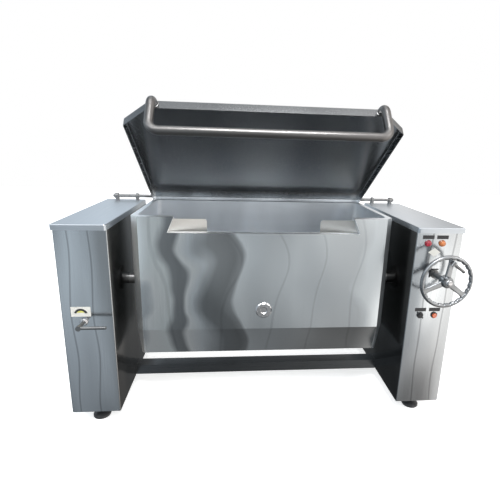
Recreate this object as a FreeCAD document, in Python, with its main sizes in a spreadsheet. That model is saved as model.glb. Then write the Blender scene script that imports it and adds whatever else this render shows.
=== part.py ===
import FreeCAD, Part
import math
import os
import re
import Sketcher
from FreeCAD import Placement, Rotation, Vector

os.makedirs("parts", exist_ok=True)
doc = FreeCAD.newDocument("bratt_pan")

# Driving sizes in millimetres and degrees, each written once
SIZES = {
    # Columns, their covers, the beam and the feet
    "overall_width": 1600,
    "cover_width": 200,
    "cover_side_lip": 5,
    "cover_front_lip": 10,
    "cover_thick": 22,
    "cover_rim": 16,
    "cover_skin": 3,
    "column_depth": 660,
    "column_height": 781,
    "column_wall": 3,
    "foot_height": 57,
    "foot_radius": 36,
    "foot_pad": 12,
    "foot_neck": 11,
    "foot_nut": 15,
    "foot_inset": 60,
    "beam_depth": 60,
    "beam_height": 48,
    "beam_wall": 3,
    "beam_offset": 270,
    # Pan
    "pan_gap": 55,
    "pan_offset": 100,
    "pan_rear_gap": 55,
    "pan_bevel": 30,
    "pan_proud": 12,
    "fold_drop": 494,
    "bottom_drop": 624,
    "pan_slope": 40,
    "pan_skin": 2,
    "tub_side_rim": 22,
    "tub_front_rim": 30,
    "tub_rear_rim": 32,
    "tub_depth": 300,
    "tub_wall": 3,
    "tub_floor": 10,
    "tub_corner": 26,
    "notch_inset": 173,
    "notch_flare": 28,
    "notch_depth": 66,
    "guide_length": 164,
    "guide_height": 85,
    "guide_drop": 13,
    "guide_fall": 8,
    "guide_thick": 2,
    "guide_gap": 0.3,
    "guide_turn": 14,
    "guide_corner": 14,
    "front_cap_radius": 35,
    "front_cap_thick": 7,
    "front_cap_drop": 406,
    "front_cap_dimple": 5.5,
    "gland_radius": 9,
    "gland_drop": 16,
    "gland_inset": 103,
    "gland_gap": 26,
    # Pan pivots
    "pivot_offset": 265,
    "pivot_drop": 315,
    "pivot_radius": 25,
    "pivot_reach": 60,
    "drive_reach": 140,
    "pivot_flange": 55,
    "pivot_flange_thick": 8,
    "pivot_fit": 0.05,
    "bearing_radius": 52,
    "bearing_length": 42,
    "bearing_flange": 12,
    # Lid
    "lid_overlap": 4,
    "lid_length": 729,
    "lid_skirt": 36,
    "lid_sheet": 2,
    "lid_drop": 4.5,
    "lid_chamfer_x": 114,
    "lid_chamfer_y": 102,
    "hinge_inset": 15,
    "hinge_raise": 20,
    "lid_open": 36,
    "rod_radius": 8,
    "rod_end_in": 162,
    "rod_inset": 8,
    "block_length": 50,
    "block_half": 9,
    "eye_radius": 14,
    "eye_thick": 12,
    "eye_inner_in": 34,
    "eye_outer_in": 136,
    "rod_fit": 0.05,
    "rod_collar": 12,
    "grip_inset": 16,
    "grip_radius": 16,
    "grip_wall": 2,
    "grip_reach": 40,
    "grip_drop": 144,
    "grip_bend": 36,
    # Handwheel and its gearbox
    "wheel_in": 92,
    "wheel_drop": 172,
    "wheel_radius": 107,
    "wheel_ahead": 100,
    "wheel_rim_width": 17,
    "wheel_rim_thick": 22,
    "wheel_waves": 24,
    "wave_radius": 6.5,
    "wave_sink": 2.5,
    "spoke_width": 23,
    "spoke_thick": 9,
    "spoke_turn": 84,
    "hub_radius": 24,
    "hub_length": 36,
    "shaft_radius": 10,
    "shaft_fit": 0.05,
    "shaft_inside": 300,
    "bush_radius": 18,
    "bush_thick": 14,
    "cap_radius": 13,
    "cap_thick": 7,
    "crank_seat": 78,
    "crank_raise": 16,
    "crank_lean": 35,
    "crank_radius": 6.5,
    "crank_length": 60,
    "crank_eye": 8,
    "crank_eye_width": 10,
    "crank_pin": 3,
    "crank_gap": 0.4,
    "pin_fit": 0.05,
    "lug_thick": 4,
    "gearbox_half": 80,
    "gearbox_reach": 95,
    "gearbox_margin": 40,
    # Controls on the right column
    "lamp_drop": 43,
    "lamp_left_in": 50,
    "lamp_right_in": 110,
    "lamp_radius": 14,
    "lamp_ring": 3,
    "lens_radius": 11.5,
    "lens_height": 12,
    "panel_hole": 11,
    "strip_upper_drop": 18,
    "strip_lower_drop": 333,
    "strip_length": 48,
    "strip_height": 15,
    "strip_thick": 1,
    "diamond_in": 82,
    "diamond_drop": 81,
    "diamond_length": 52,
    "diamond_height": 36,
    "switch_drop": 358,
    "switch_left_in": 57,
    "switch_right_in": 119,
    "switch_radius": 14,
    "switch_ring": 4,
    "knob_radius": 11,
    "knob_height": 16,
    "knob_grip": 6,
    "knob_turn": 45,
    "button_radius": 10,
    "button_height": 11,
    "button_travel": 4,
    "button_gap": 0.4,
    # Valve lever on the left column
    "lever_in": 112,
    "lever_drop": 368,
    "lever_boss": 15,
    "lever_boss_thick": 12,
    "lever_spindle": 7,
    "lever_reach": 64,
    "lever_arm": 100,
    "lever_rod": 6,
    "lever_inside": 20,
    "lever_fit": 0.05,
    "scale_in": 121,
    "scale_drop": 326,
    "scale_length": 74,
    "scale_height": 40,
    "scale_thick": 1.5,
    "scale_arc": 26,
    "scale_band": 8,
    # Gas supply at the back of the left column
    "inlet_radius": 13.4,
    "inlet_reach": 30,
    "inlet_inside": 25,
    "inlet_in": 92,
    "inlet_raise": 93,
    "inlet_nut": 21,
    "inlet_nut_thick": 12,
}

sheet = doc.addObject("Spreadsheet::Sheet", "Sizes")
for row, (name, number) in enumerate(SIZES.items(), start=1):
    sheet.set(f"A{row}", name)
    sheet.set(f"B{row}", str(number))
    sheet.setAlias(f"B{row}", name)
doc.recompute()

# Places that several pieces share, as expressions over the sheet
SHARED = {
    "reach": "(wheel_ahead + hub_length / 2 + cap_thick)",
    "front": "((reach - column_depth - inlet_reach) / 2)",
    "back": "(front + column_depth)",
    "inner_x": "(overall_width / 2 - cover_width)",
    "outer_x": "(overall_width / 2 - cover_side_lip)",
    "column_top": "(foot_height + column_height)",
    "cover_top": "(column_top + cover_thick)",
    "pan_front": "(front + pan_offset)",
    "pan_back": "(hinge_y - pan_rear_gap)",
    "pan_half": "(inner_x - pan_gap)",
    "pan_top": "(cover_top + pan_proud)",
    "pan_fold": "(pan_top - fold_drop)",
    "pan_bottom": "(pan_top - bottom_drop)",
    "notch_half": "(pan_half - notch_inset)",
    "front_cap_z": "(pan_top - front_cap_drop)",
    "gland_x": "(pan_half - gland_inset)",
    "pivot_y": "(front + pivot_offset)",
    "pivot_z": "(pan_top - pivot_drop)",
    "lid_half": "(pan_half + lid_overlap)",
    "grip_half": "(lid_half - lid_chamfer_x - grip_inset)",
    "hinge_y": "(back - hinge_inset)",
    "hinge_z": "(cover_top + hinge_raise)",
    "rod_start": "(lid_half - rod_inset)",
    "rod_end": "(inner_x + rod_end_in)",
    "eye_inner_x": "(inner_x + eye_inner_in)",
    "eye_outer_x": "(inner_x + eye_outer_in)",
    "wheel_x": "(inner_x + wheel_in)",
    "wheel_y": "(front - wheel_ahead)",
    "wheel_z": "(column_top - wheel_drop)",
    "lamp_left_x": "(inner_x + lamp_left_in)",
    "lamp_right_x": "(inner_x + lamp_right_in)",
    "lamp_z": "(column_top - lamp_drop)",
    "strip_upper_z": "(column_top - strip_upper_drop)",
    "strip_lower_z": "(column_top - strip_lower_drop)",
    "diamond_x": "(inner_x + diamond_in)",
    "diamond_z": "(column_top - diamond_drop)",
    "switch_left_x": "(inner_x + switch_left_in)",
    "switch_right_x": "(inner_x + switch_right_in)",
    "switch_z": "(column_top - switch_drop)",
    "lever_x": "(inner_x + lever_in)",
    "lever_z": "(column_top - lever_drop)",
    "scale_x": "(inner_x + scale_in)",
    "scale_z": "(column_top - scale_drop)",
    "inlet_x": "(inner_x + inlet_in)",
    "inlet_z": "(foot_height + inlet_raise)",
}


def E(text):
    """Expand the shared places, then point every size at its cell."""
    while any(re.search(rf"\b{word}\b", text) for word in SHARED):
        for word, meaning in SHARED.items():
            text = re.sub(rf"\b{word}\b", meaning, text)
    return re.sub(r"\b[a-z][a-z_]*\b", lambda m: f"Sizes.{m[0]}" if m[0] in SIZES else m[0], text)


def bind(thing, **links):
    """Bind properties, written with __ for a dot, to expressions."""
    for prop, text in links.items():
        thing.setExpression(prop.replace("__", "."), E(str(text)))


def place(thing, x=0, y=0, z=0):
    bind(thing, Placement__Base__x=x, Placement__Base__y=y, Placement__Base__z=z)


def new_body(name):
    body = doc.addObject("PartDesign::Body", name)
    body.Label = name
    return body


def sketch(body, role, offset=0, name="Sketch"):
    """A sketch on one of the body's own planes, moved along its normal."""
    made = body.newObject("Sketcher::SketchObject", name)
    plane = [f for f in body.Origin.OriginFeatures if f.Role == role][0]
    made.AttachmentSupport = [(plane, "")]
    made.MapMode = "FlatFace"
    bind(made, AttachmentOffset__Base__z=offset)
    return made


def fix_point(made, index, which, across, up):
    """Hold one point of the sketch at two signed distances from its origin."""
    for kind, text in (("DistanceX", across), ("DistanceY", up)):
        number = made.addConstraint(Sketcher.Constraint(kind, -1, 1, index, which, 1.0))
        made.setExpression(f"Constraints[{number}]", E(str(text)))


def polygon(made, points):
    """A closed outline through points given as pairs of expressions."""
    count = len(points)
    first = made.GeometryCount
    turns = [2 * math.pi * i / count for i in range(count)]
    start = [Vector(math.cos(turn), math.sin(turn), 0) for turn in turns]
    for i in range(count):
        made.addGeometry(Part.LineSegment(start[i], start[(i + 1) % count]), False)
    for i in range(count):
        after = first + (i + 1) % count
        made.addConstraint(Sketcher.Constraint("Coincident", first + i, 2, after, 1))
    for i, (across, up) in enumerate(points):
        fix_point(made, first + i, 1, across, up)


def rectangle(made, left, low, right, high):
    polygon(made, [(left, low), (right, low), (right, high), (left, high)])


def circle(made, across, up, radius):
    number = made.addGeometry(Part.Circle(Vector(0, 0, 0), Vector(0, 0, 1), 1.0), False)
    fix_point(made, number, 3, across, up)
    held = made.addConstraint(Sketcher.Constraint("Radius", number, 1.0))
    made.setExpression(f"Constraints[{held}]", E(str(radius)))


def feature(body, kind, made, length, flip=False):
    """A Pad or Pocket of a sketch."""
    made_feature = body.newObject(f"PartDesign::{kind}", kind)
    made_feature.Profile = made
    bind(made_feature, Length=length)
    made_feature.Reversed = flip
    made.Visibility = False
    return made_feature


def turned(body, made, axis="V_Axis", kind="Revolution"):
    """A full turn of a sketch about one of its own axes."""
    made_feature = body.newObject(f"PartDesign::{kind}", kind)
    made_feature.Profile = made
    made_feature.ReferenceAxis = (made, [axis])
    made_feature.Angle = 360
    return made_feature


def turned_piece(name, points):
    """A round piece standing on its own XY plane, from its half outline."""
    body = new_body(name)
    made = sketch(body, "XZ_Plane")
    polygon(made, points)
    turned(body, made)
    return body


def facing_front(body, x, y, z):
    """Lay a round piece's axis along -Y, with its base at the given place."""
    body.Placement = Placement(Vector(0, 0, 0), Rotation(Vector(1, 0, 0), 90))
    place(body, x, y, z)
    return body


def along_x(body, side, x, y, z):
    """Lay a round piece's axis along X, outwards on the given side."""
    body.Placement = Placement(Vector(0, 0, 0), Rotation(Vector(0, 1, 0), 90 * side))
    place(body, x, y, z)
    return body


SIDES = (("left", -1), ("right", 1))


# Columns: folded sheet boxes on a closed base, open under their covers
def column(name, side):
    body = new_body(f"column_{name}")
    outline = sketch(body, "XY_Plane", "foot_height")
    rectangle(outline, f"{side} * inner_x", "front", f"{side} * outer_x", "back")
    feature(body, "Pad", outline, "column_height")
    hollow = sketch(body, "XY_Plane", "column_top")
    rectangle(hollow, f"{side} * (inner_x + column_wall)", "front + column_wall",
              f"{side} * (outer_x - column_wall)", "back - column_wall")
    feature(body, "Pocket", hollow, "column_height - column_wall")
    return body


def column_holes(body, side):
    """The holes in the front, inner and back sheets, each to the size of what passes."""
    front = sketch(body, "XZ_Plane", "-(front + column_wall)")
    if side > 0:
        circle(front, "wheel_x", "wheel_z", "shaft_radius + 2")
        for x in ("lamp_left_x", "lamp_right_x"):
            circle(front, x, "lamp_z", "panel_hole")
        for x in ("switch_left_x", "switch_right_x"):
            circle(front, x, "switch_z", "panel_hole")
    else:
        circle(front, "-lever_x", "lever_z", "lever_spindle + 2")
    feature(body, "Pocket", front, "column_wall", flip=True)
    inner = sketch(body, "YZ_Plane", f"{side} * inner_x" if side > 0 else "-(inner_x + column_wall)")
    circle(inner, "pivot_y", "pivot_z", "pivot_radius + 3")
    feature(body, "Pocket", inner, "column_wall", flip=True)
    if side < 0:
        rear = sketch(body, "XZ_Plane", "-back")
        circle(rear, "-inlet_x", "inlet_z", "inlet_radius")
        feature(body, "Pocket", rear, "column_wall", flip=True)


for name, side in SIDES:
    column_holes(column(name, side), side)


# Covers: pressed caps with a rim that stands on the column's walls
def cover(name, side):
    body = new_body(f"cover_{name}")
    outline = sketch(body, "XY_Plane", "column_top")
    rectangle(outline, f"{side} * inner_x", "front - cover_front_lip", f"{side} * overall_width / 2", "back")
    feature(body, "Pad", outline, "cover_thick")
    under = sketch(body, "XY_Plane", "column_top")
    rectangle(under, f"{side} * (inner_x + cover_rim)", "front - cover_front_lip + cover_rim",
              f"{side} * (overall_width / 2 - cover_rim)", "back - cover_rim")
    feature(body, "Pocket", under, "cover_thick - cover_skin", flip=True)


for name, side in SIDES:
    cover(name, side)

# Beam between the columns, a rectangular tube
beam = new_body("cross_beam")
beam_outline = sketch(beam, "YZ_Plane", "-inner_x")
beam_low = "front + beam_offset"
rectangle(beam_outline, beam_low, "foot_height", f"{beam_low} + beam_depth", "foot_height + beam_height")
rectangle(beam_outline, f"{beam_low} + beam_wall", "foot_height + beam_wall",
          f"{beam_low} + beam_depth - beam_wall", "foot_height + beam_height - beam_wall")
feature(beam, "Pad", beam_outline, "2 * inner_x")

# Four levelling feet
FOOT_PLACES = [(side, end) for side in (-1, 1) for end in ("front + foot_inset", "back - foot_inset")]
for number, (side, end) in enumerate(FOOT_PLACES, start=1):
    foot = turned_piece(f"foot_{number}", [
        (0, 0), ("foot_radius - 2", 0), ("foot_radius", 2), ("foot_radius", "foot_pad"),
        ("foot_neck", "foot_pad * 2"), ("foot_neck", "foot_height - foot_nut"),
        ("foot_nut", "foot_height - foot_nut"), ("foot_nut", "foot_height"), (0, "foot_height")])
    place(foot, f"{side} * (inner_x + outer_x) / 2", end, 0)


# Pan shell: eight-sided in plan, drawn in below its fold
def eight_sided(made, inset, draw, bevel):
    half = f"(pan_half - {inset} - {draw} / 4)"
    low = f"(pan_front + {inset} + {draw})"
    high = f"(pan_back - {inset} - {draw})"
    polygon(made, [
        (f"-{half}", f"{low} + {bevel}"), (f"-{half} + {bevel}", low),
        (f"{half} - {bevel}", low), (half, f"{low} + {bevel}"),
        (half, f"{high} - {bevel}"), (f"{half} - {bevel}", high),
        (f"-{half} + {bevel}", high), (f"-{half}", f"{high} - {bevel}")])


def loft(body, kind, first, second):
    made = body.newObject(f"PartDesign::{kind}", kind)
    made.Profile = first
    made.Sections = [second]
    made.Ruled = True
    return made


shell = new_body("pan_shell")
upper = sketch(shell, "XY_Plane", "pan_fold")
eight_sided(upper, "0", "0", "pan_bevel")
feature(shell, "Pad", upper, "pan_top - pan_fold")
lower_edge = sketch(shell, "XY_Plane", "pan_fold")
eight_sided(lower_edge, "0", "0", "pan_bevel")
lower_foot = sketch(shell, "XY_Plane", "pan_bottom")
eight_sided(lower_foot, "0", "pan_slope", "pan_bevel / 3")
loft(shell, "AdditiveLoft", lower_edge, lower_foot)
inside_top = sketch(shell, "XY_Plane", "pan_fold")
eight_sided(inside_top, "pan_skin", "0", "pan_bevel")
feature(shell, "Pocket", inside_top, "pan_top - pan_fold", flip=True)
inside_edge = sketch(shell, "XY_Plane", "pan_fold")
eight_sided(inside_edge, "pan_skin", "0", "pan_bevel")
inside_foot = sketch(shell, "XY_Plane", "pan_bottom + pan_skin")
eight_sided(inside_foot, "pan_skin", "pan_slope", "pan_bevel / 3")
loft(shell, "SubtractiveLoft", inside_edge, inside_foot)

# The pouring notch, wider at its foot, is the same cut in shell and tub
NOTCH = [("-notch_half", "pan_top + 1"), ("-notch_half", "pan_top"),
         ("-(notch_half + notch_flare)", "pan_top - notch_depth"),
         ("notch_half + notch_flare", "pan_top - notch_depth"),
         ("notch_half", "pan_top"), ("notch_half", "pan_top + 1")]


def cut_notch(body):
    made = sketch(body, "XZ_Plane", "-(pan_front - 1)")
    polygon(made, NOTCH)
    feature(body, "Pocket", made, "tub_front_rim + 2")


cut_notch(shell)

# Tub: rim, walls and floor pressed in one, hung inside the shell
tub = new_body("pan_tub")
rim = sketch(tub, "XY_Plane", "pan_top - tub_wall")
eight_sided(rim, "pan_skin", "0", "pan_bevel")
feature(tub, "Pad", rim, "tub_wall")
basin = sketch(tub, "XY_Plane", "pan_top - tub_depth - tub_floor")
rectangle(basin, "-(pan_half - tub_side_rim + tub_wall)", "pan_front + tub_front_rim - tub_wall",
          "pan_half - tub_side_rim + tub_wall", "pan_back - tub_rear_rim + tub_wall")
feature(tub, "Pad", basin, "tub_depth + tub_floor")
cavity = sketch(tub, "XY_Plane", "pan_top")
rectangle(cavity, "-(pan_half - tub_side_rim)", "pan_front + tub_front_rim",
          "pan_half - tub_side_rim", "pan_back - tub_rear_rim")
dished = feature(tub, "Pocket", cavity, "tub_depth")


def fillet(body, base, radius, wanted):
    """Round the edges of a feature that the given test picks."""
    doc.recompute()
    names = [f"Edge{i}" for i, edge in enumerate(base.Shape.Edges, start=1) if wanted(edge.BoundBox)]
    made = body.newObject("PartDesign::Fillet", "Fillet")
    made.Base = (base, names)
    bind(made, Radius=radius)
    return made


def tall(box):
    return box.XLength < 1e-6 and box.YLength < 1e-6 and box.ZLength > SIZES["tub_depth"] / 2


fillet(tub, dished, "tub_corner", tall)
cut_notch(tub)


# Pouring guides: plates turned in from the notch's ends, behind the front wall
def pouring_guide(name, side):
    body = new_body(f"pour_guide_{name}")
    made = sketch(body, "XZ_Plane")
    polygon(made, [(0, "-guide_height"), ("guide_length", "-guide_height"), ("guide_length", "-guide_fall"),
                   (0, 0)])
    blank = feature(body, "Pad", made, "guide_thick", flip=True)
    doc.recompute()
    corner = [f"Edge{i}" for i, edge in enumerate(blank.Shape.Edges, start=1)
              if edge.BoundBox.YLength > SIZES["guide_thick"] / 2
              and abs(edge.BoundBox.ZMax + SIZES["guide_fall"]) < 0.01]
    made_round = body.newObject("PartDesign::Fillet", "Fillet")
    made_round.Base = (blank, corner)
    bind(made_round, Radius="guide_corner")
    return body


# Round cover on the pan's front, with a dished face and scalloped dimples
front_cap = turned_piece("front_cap", [
    (0, 0), ("front_cap_radius", 0), ("front_cap_radius", "front_cap_thick / 2"),
    ("front_cap_radius - 4", "front_cap_thick"), ("front_cap_radius * 0.45", "front_cap_thick"),
    ("front_cap_radius * 0.35", "front_cap_thick / 2"), (0, "front_cap_thick / 2")])
dimple = sketch(front_cap, "XY_Plane", "front_cap_thick")
circle(dimple, "front_cap_radius * 0.72", 0, "front_cap_dimple")
dimple_cut = feature(front_cap, "Pocket", dimple, "front_cap_thick / 3")


def ring_of(body, base, count):
    """Repeat a feature in a full ring about the body's own Z axis."""
    made = body.newObject("PartDesign::PolarPattern", "PolarPattern")
    made.Originals = [base]
    made.Axis = ([f for f in body.Origin.OriginFeatures if f.Role == "Z_Axis"][0], [""])
    made.Angle = 360
    if isinstance(count, str):
        bind(made, Occurrences=count)
    else:
        made.Occurrences = count
    body.Tip = made
    return made


ring_of(front_cap, dimple_cut, 8)
facing_front(front_cap, 0, "pan_front", "front_cap_z")

# Two cable glands under the pan's left end
for number in (1, 2):
    gland = turned_piece(f"pan_gland_{number}", [
        (0, 0), ("gland_radius", 0), ("gland_radius", "-gland_drop / 2"),
        ("gland_radius * 0.7", "-gland_drop / 2"), ("gland_radius * 0.6", "-gland_drop"),
        (0, "-gland_drop")])
    place(gland, f"-gland_x + {number - 1} * gland_gap", "pan_front + pan_slope + 40", "pan_bottom")


# Pan pivots: a flange on the pan's side and a shaft into the column
def pivot(name, side):
    reach = "inner_x - pan_half + pivot_reach" if side < 0 else "inner_x - pan_half + drive_reach"
    body = turned_piece(f"pan_pivot_{name}", [
        (0, 0), ("pivot_flange", 0), ("pivot_flange", "pivot_flange_thick"),
        ("pivot_radius + 6", "pivot_flange_thick"), ("pivot_radius", "pivot_flange_thick + 6"),
        ("pivot_radius", f"{reach} - 2"), ("pivot_radius - 2", reach), (0, reach)])
    return along_x(body, side, f"{side} * pan_half", "pivot_y", "pivot_z")


# Bearings on the inner sheets, inside the columns
def bearing(name, side):
    body = turned_piece(f"pivot_bearing_{name}", [
        ("pivot_radius + pivot_fit", 0), ("bearing_radius", 0), ("bearing_radius", "bearing_flange"),
        ("bearing_radius - 14", "bearing_flange"), ("bearing_radius - 14", "bearing_length"),
        ("pivot_radius + pivot_fit", "bearing_length")])
    return along_x(body, side, f"{side} * (inner_x + column_wall)", "pivot_y", "pivot_z")


for name, side in SIDES:
    pivot(name, side)
    bearing(name, side)
    guide = pouring_guide(name, side)
    turn = "guide_turn" if side < 0 else "180 - guide_turn"
    guide.Placement = Placement(Vector(0, 0, 0), Rotation(Vector(0, 0, 1), 10))
    bind(guide, Placement__Rotation__Angle=turn)
    behind = "guide_gap" if side < 0 else "guide_gap + guide_thick"
    place(guide, f"{side} * (notch_half + notch_flare + 3)", f"pan_front + tub_front_rim + {behind}",
          "pan_top - guide_drop")


# Lid, drawn closed about its hinge line and then opened to its place
def on_lid(body, x=0):
    body.Placement = Placement(Vector(0, 0, 0), Rotation(Vector(-1, 0, 0), 10))
    bind(body, Placement__Rotation__Angle="lid_open")
    place(body, x, "hinge_y", "hinge_z")
    return body


def lid_outline(made, inset):
    """The lid's six-sided outline, moved inwards by the inset, chamfers too."""
    shift = f"({inset} * sqrt(1 / lid_chamfer_x ^ 2 + 1 / lid_chamfer_y ^ 2))"
    side = f"(lid_half - {inset})"
    end = f"(lid_length - {inset})"
    back = f"(block_half + {inset})"
    corner = f"(lid_length - lid_chamfer_y + lid_chamfer_y * ({inset} / lid_chamfer_x - {shift}))"
    nose = f"(lid_half - lid_chamfer_x * ({shift} + (lid_chamfer_y - {inset}) / lid_chamfer_y))"
    polygon(made, [
        (f"-{side}", f"-{back}"), (f"-{side}", f"-{corner}"), (f"-{nose}", f"-{end}"),
        (nose, f"-{end}"), (side, f"-{corner}"), (side, f"-{back}")])


lid = new_body("lid_panel")
lid_block = sketch(lid, "XY_Plane", "-(lid_drop + lid_skirt)")
lid_outline(lid_block, "0")
feature(lid, "Pad", lid_block, "lid_skirt")
lid_hollow = sketch(lid, "XY_Plane", "-(lid_drop + lid_skirt)")
lid_outline(lid_hollow, "lid_sheet")
feature(lid, "Pocket", lid_hollow, "lid_skirt - lid_sheet", flip=True)
on_lid(lid)


def lid_rod(name, side):
    """Hinge rod with a collar beyond its outer eye."""
    collar = "eye_outer_x + eye_thick + 0.5 - rod_start"
    body = turned_piece(f"lid_rod_{name}", [
        (0, 0), ("rod_radius", 0), ("rod_radius", collar), ("rod_collar", collar),
        ("rod_collar", f"{collar} + 7"), ("rod_radius", f"{collar} + 7"),
        ("rod_radius", "rod_end - rod_start - 1"), ("rod_radius - 1", "rod_end - rod_start"),
        (0, "rod_end - rod_start")])
    return along_x(body, side, f"{side} * rod_start", "hinge_y", "hinge_z")


def lid_block_piece(name, side):
    """Block that joins the lid's back skirt to the rod."""
    body = new_body(f"lid_block_{name}")
    made = sketch(body, "YZ_Plane", f"{side} * (rod_start - block_length)" if side > 0 else "-rod_start")
    rectangle(made, "-block_half", "-(lid_drop + lid_skirt) / 2", "block_half", "block_half")
    feature(body, "Pad", made, "block_length")
    return on_lid(body)


def hinge_eye(name, side, x):
    """Upright eye on the cover that carries the rod."""
    body = new_body(name)
    post = sketch(body, "YZ_Plane", x if side > 0 else f"-({x} + eye_thick)")
    rectangle(post, "hinge_y - eye_radius", "cover_top", "hinge_y + eye_radius", "hinge_z")
    feature(body, "Pad", post, "eye_thick")
    head = sketch(body, "YZ_Plane", x if side > 0 else f"-({x} + eye_thick)")
    circle(head, "hinge_y", "hinge_z", "eye_radius")
    feature(body, "Pad", head, "eye_thick")
    bore = sketch(body, "YZ_Plane", x if side > 0 else f"-({x} + eye_thick)")
    circle(bore, "hinge_y", "hinge_z", "rod_radius + rod_fit")
    feature(body, "Pocket", bore, "eye_thick", flip=True)


for name, side in SIDES:
    lid_rod(name, side)
    lid_block_piece(name, side)
    hinge_eye(f"hinge_eye_inner_{name}", side, "eye_inner_x")
    hinge_eye(f"hinge_eye_outer_{name}", side, "eye_outer_x")


# Lid grip: one bent tube, welded to the front skirt at both ends
def value(text):
    """The number that an expression over the sizes comes to."""
    while any(re.search(rf"\b{word}\b", text) for word in SHARED):
        for word, meaning in SHARED.items():
            text = re.sub(rf"\b{word}\b", meaning, text)
    return float(sheet.evalExpression(E(text)))


def bent_path(corners, radius):
    """A run through the corners with every bend rounded to one radius."""
    edges = []
    last = corners[0]
    for before, corner, after in zip(corners, corners[1:], corners[2:]):
        come = (corner - before).normalize()
        leave = (after - corner).normalize()
        start = corner - come * radius
        end = corner + leave * radius
        middle = corner - (come - leave) * radius * (1 - math.sqrt(0.5))
        edges += [Part.LineSegment(last, start).toShape(), Part.Arc(start, middle, end).toShape()]
        last = end
    edges.append(Part.LineSegment(last, corners[-1]).toShape())
    return Part.Wire(edges)


def round_sweep(path, start, direction, radius):
    ring = Part.Wire(Part.makeCircle(radius, start, direction))
    return path.makePipeShell([ring], True, False)


grip_height = -(value("lid_drop") + value("lid_skirt") / 2)
grip_far = -(value("lid_length") + value("grip_reach"))
grip_low = grip_height - value("grip_drop")
half = value("grip_half")
grip_corners = [
    Vector(-half, -value("lid_length"), grip_height), Vector(-half, grip_far, grip_height),
    Vector(-half, grip_far, grip_low), Vector(half, grip_far, grip_low),
    Vector(half, grip_far, grip_height), Vector(half, -value("lid_length"), grip_height)]
grip_path = bent_path(grip_corners, value("grip_bend"))
forward = Vector(0, -1, 0)
tube = round_sweep(grip_path, grip_corners[0], forward, value("grip_radius"))
bore = round_sweep(grip_path, grip_corners[0], forward, value("grip_radius") - value("grip_wall"))
grip = doc.addObject("Part::Feature", "lid_grip")
grip.Label = "lid_grip"
grip.Shape = tube.cut(bore)
on_lid(grip)


# Handwheel: rim with finger grips inside, three spokes and a bored hub
wheel = new_body("handwheel")
rim_section = sketch(wheel, "XZ_Plane")
circle(rim_section, "wheel_radius - wheel_rim_width / 2", 0, "wheel_rim_width / 2")
turned(wheel, rim_section)
hub_section = sketch(wheel, "XZ_Plane")
polygon(hub_section, [
    (0, "-hub_length / 2"), ("hub_radius - 2", "-hub_length / 2"), ("hub_radius", "2 - hub_length / 2"),
    ("hub_radius - 3", "hub_length / 2"), (0, "hub_length / 2")])
turned(wheel, hub_section)
spoke_section = sketch(wheel, "XY_Plane", "-spoke_thick / 2")
polygon(spoke_section, [
    ("hub_radius / 2", "-spoke_width / 2"), ("wheel_radius - wheel_rim_width / 2", "-spoke_width * 0.4"),
    ("wheel_radius - wheel_rim_width / 2", "spoke_width * 0.4"), ("hub_radius / 2", "spoke_width / 2")])
spoke = feature(wheel, "Pad", spoke_section, "spoke_thick")
ring_of(wheel, spoke, 3)
wave_section = sketch(wheel, "XY_Plane", "wheel_rim_width")
wave_angle = "180 / wheel_waves"
wave_place = "(wheel_radius - wheel_rim_width - wave_radius + wave_sink)"
circle(wave_section, f"{wave_place} * cos({wave_angle})", f"{wave_place} * sin({wave_angle})", "wave_radius")
wave = feature(wheel, "Pocket", wave_section, "2 * wheel_rim_width")
ring_of(wheel, wave, "wheel_waves")
hub_bore = sketch(wheel, "XY_Plane", "hub_length / 2")
circle(hub_bore, 0, 0, "shaft_radius + shaft_fit")
feature(wheel, "Pocket", hub_bore, "hub_length")


def on_wheel(thing, turn, x=0, z=0, ahead=0):
    """Stand a piece on the wheel's plane, turned about the wheel's own axis."""
    facing = Rotation(Vector(1, 0, 0), 90)
    thing.Placement = Placement(Vector(0, 0, 0), facing * Rotation(Vector(0, 0, 1), turn))
    place(thing, f"wheel_x + {x}", f"wheel_y - {ahead}", f"wheel_z + {z}")
    return thing


on_wheel(wheel, value("spoke_turn"))
shaft = turned_piece("wheel_shaft", [
    (0, "-(wheel_ahead + shaft_inside)"), ("shaft_radius - 1", "-(wheel_ahead + shaft_inside)"),
    ("shaft_radius", "1 - (wheel_ahead + shaft_inside)"), ("shaft_radius", "hub_length / 2"),
    (0, "hub_length / 2")])
on_wheel(shaft, 0)
hub_cap = turned_piece("wheel_cap", [
    (0, 0), ("cap_radius", 0), ("cap_radius", "cap_thick * 0.6"), ("cap_radius * 0.7", "cap_thick"),
    (0, "cap_thick")])
on_wheel(hub_cap, 0, ahead="hub_length / 2")
bush = turned_piece("shaft_bush", [
    ("shaft_radius + shaft_fit", 0), ("bush_radius", 0), ("bush_radius", "bush_thick / 2"),
    ("shaft_radius + 4", "bush_thick / 2"), ("shaft_radius + 4", "bush_thick"),
    ("shaft_radius + shaft_fit", "bush_thick")])
facing_front(bush, "wheel_x", "front", "wheel_z")

# Folding crank: a clevis on the upper spoke, its pin, and the handle with an eye
crank_x = "crank_seat * cos(spoke_turn)"
crank_z = "crank_seat * sin(spoke_turn)"
lug = new_body("crank_lug")
for sign in (-1, 1):
    beside = "(crank_eye_width / 2 + crank_gap)"
    start = beside if sign < 0 else f"-({beside} + lug_thick)"
    ear = sketch(lug, "XZ_Plane", start)
    rectangle(ear, "-crank_eye", "-(crank_raise - spoke_thick / 2)", "crank_eye", 0)
    feature(lug, "Pad", ear, "lug_thick")
    ear_head = sketch(lug, "XZ_Plane", start)
    circle(ear_head, 0, 0, "crank_eye")
    feature(lug, "Pad", ear_head, "lug_thick")
foot_plate = sketch(lug, "XY_Plane", "-(crank_raise - spoke_thick / 2)")
foot_half = "(crank_eye_width / 2 + crank_gap + lug_thick)"
rectangle(foot_plate, "-crank_eye", f"-{foot_half}", "crank_eye", foot_half)
feature(lug, "Pad", foot_plate, "crank_raise - spoke_thick / 2 - crank_eye - 1")
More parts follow.
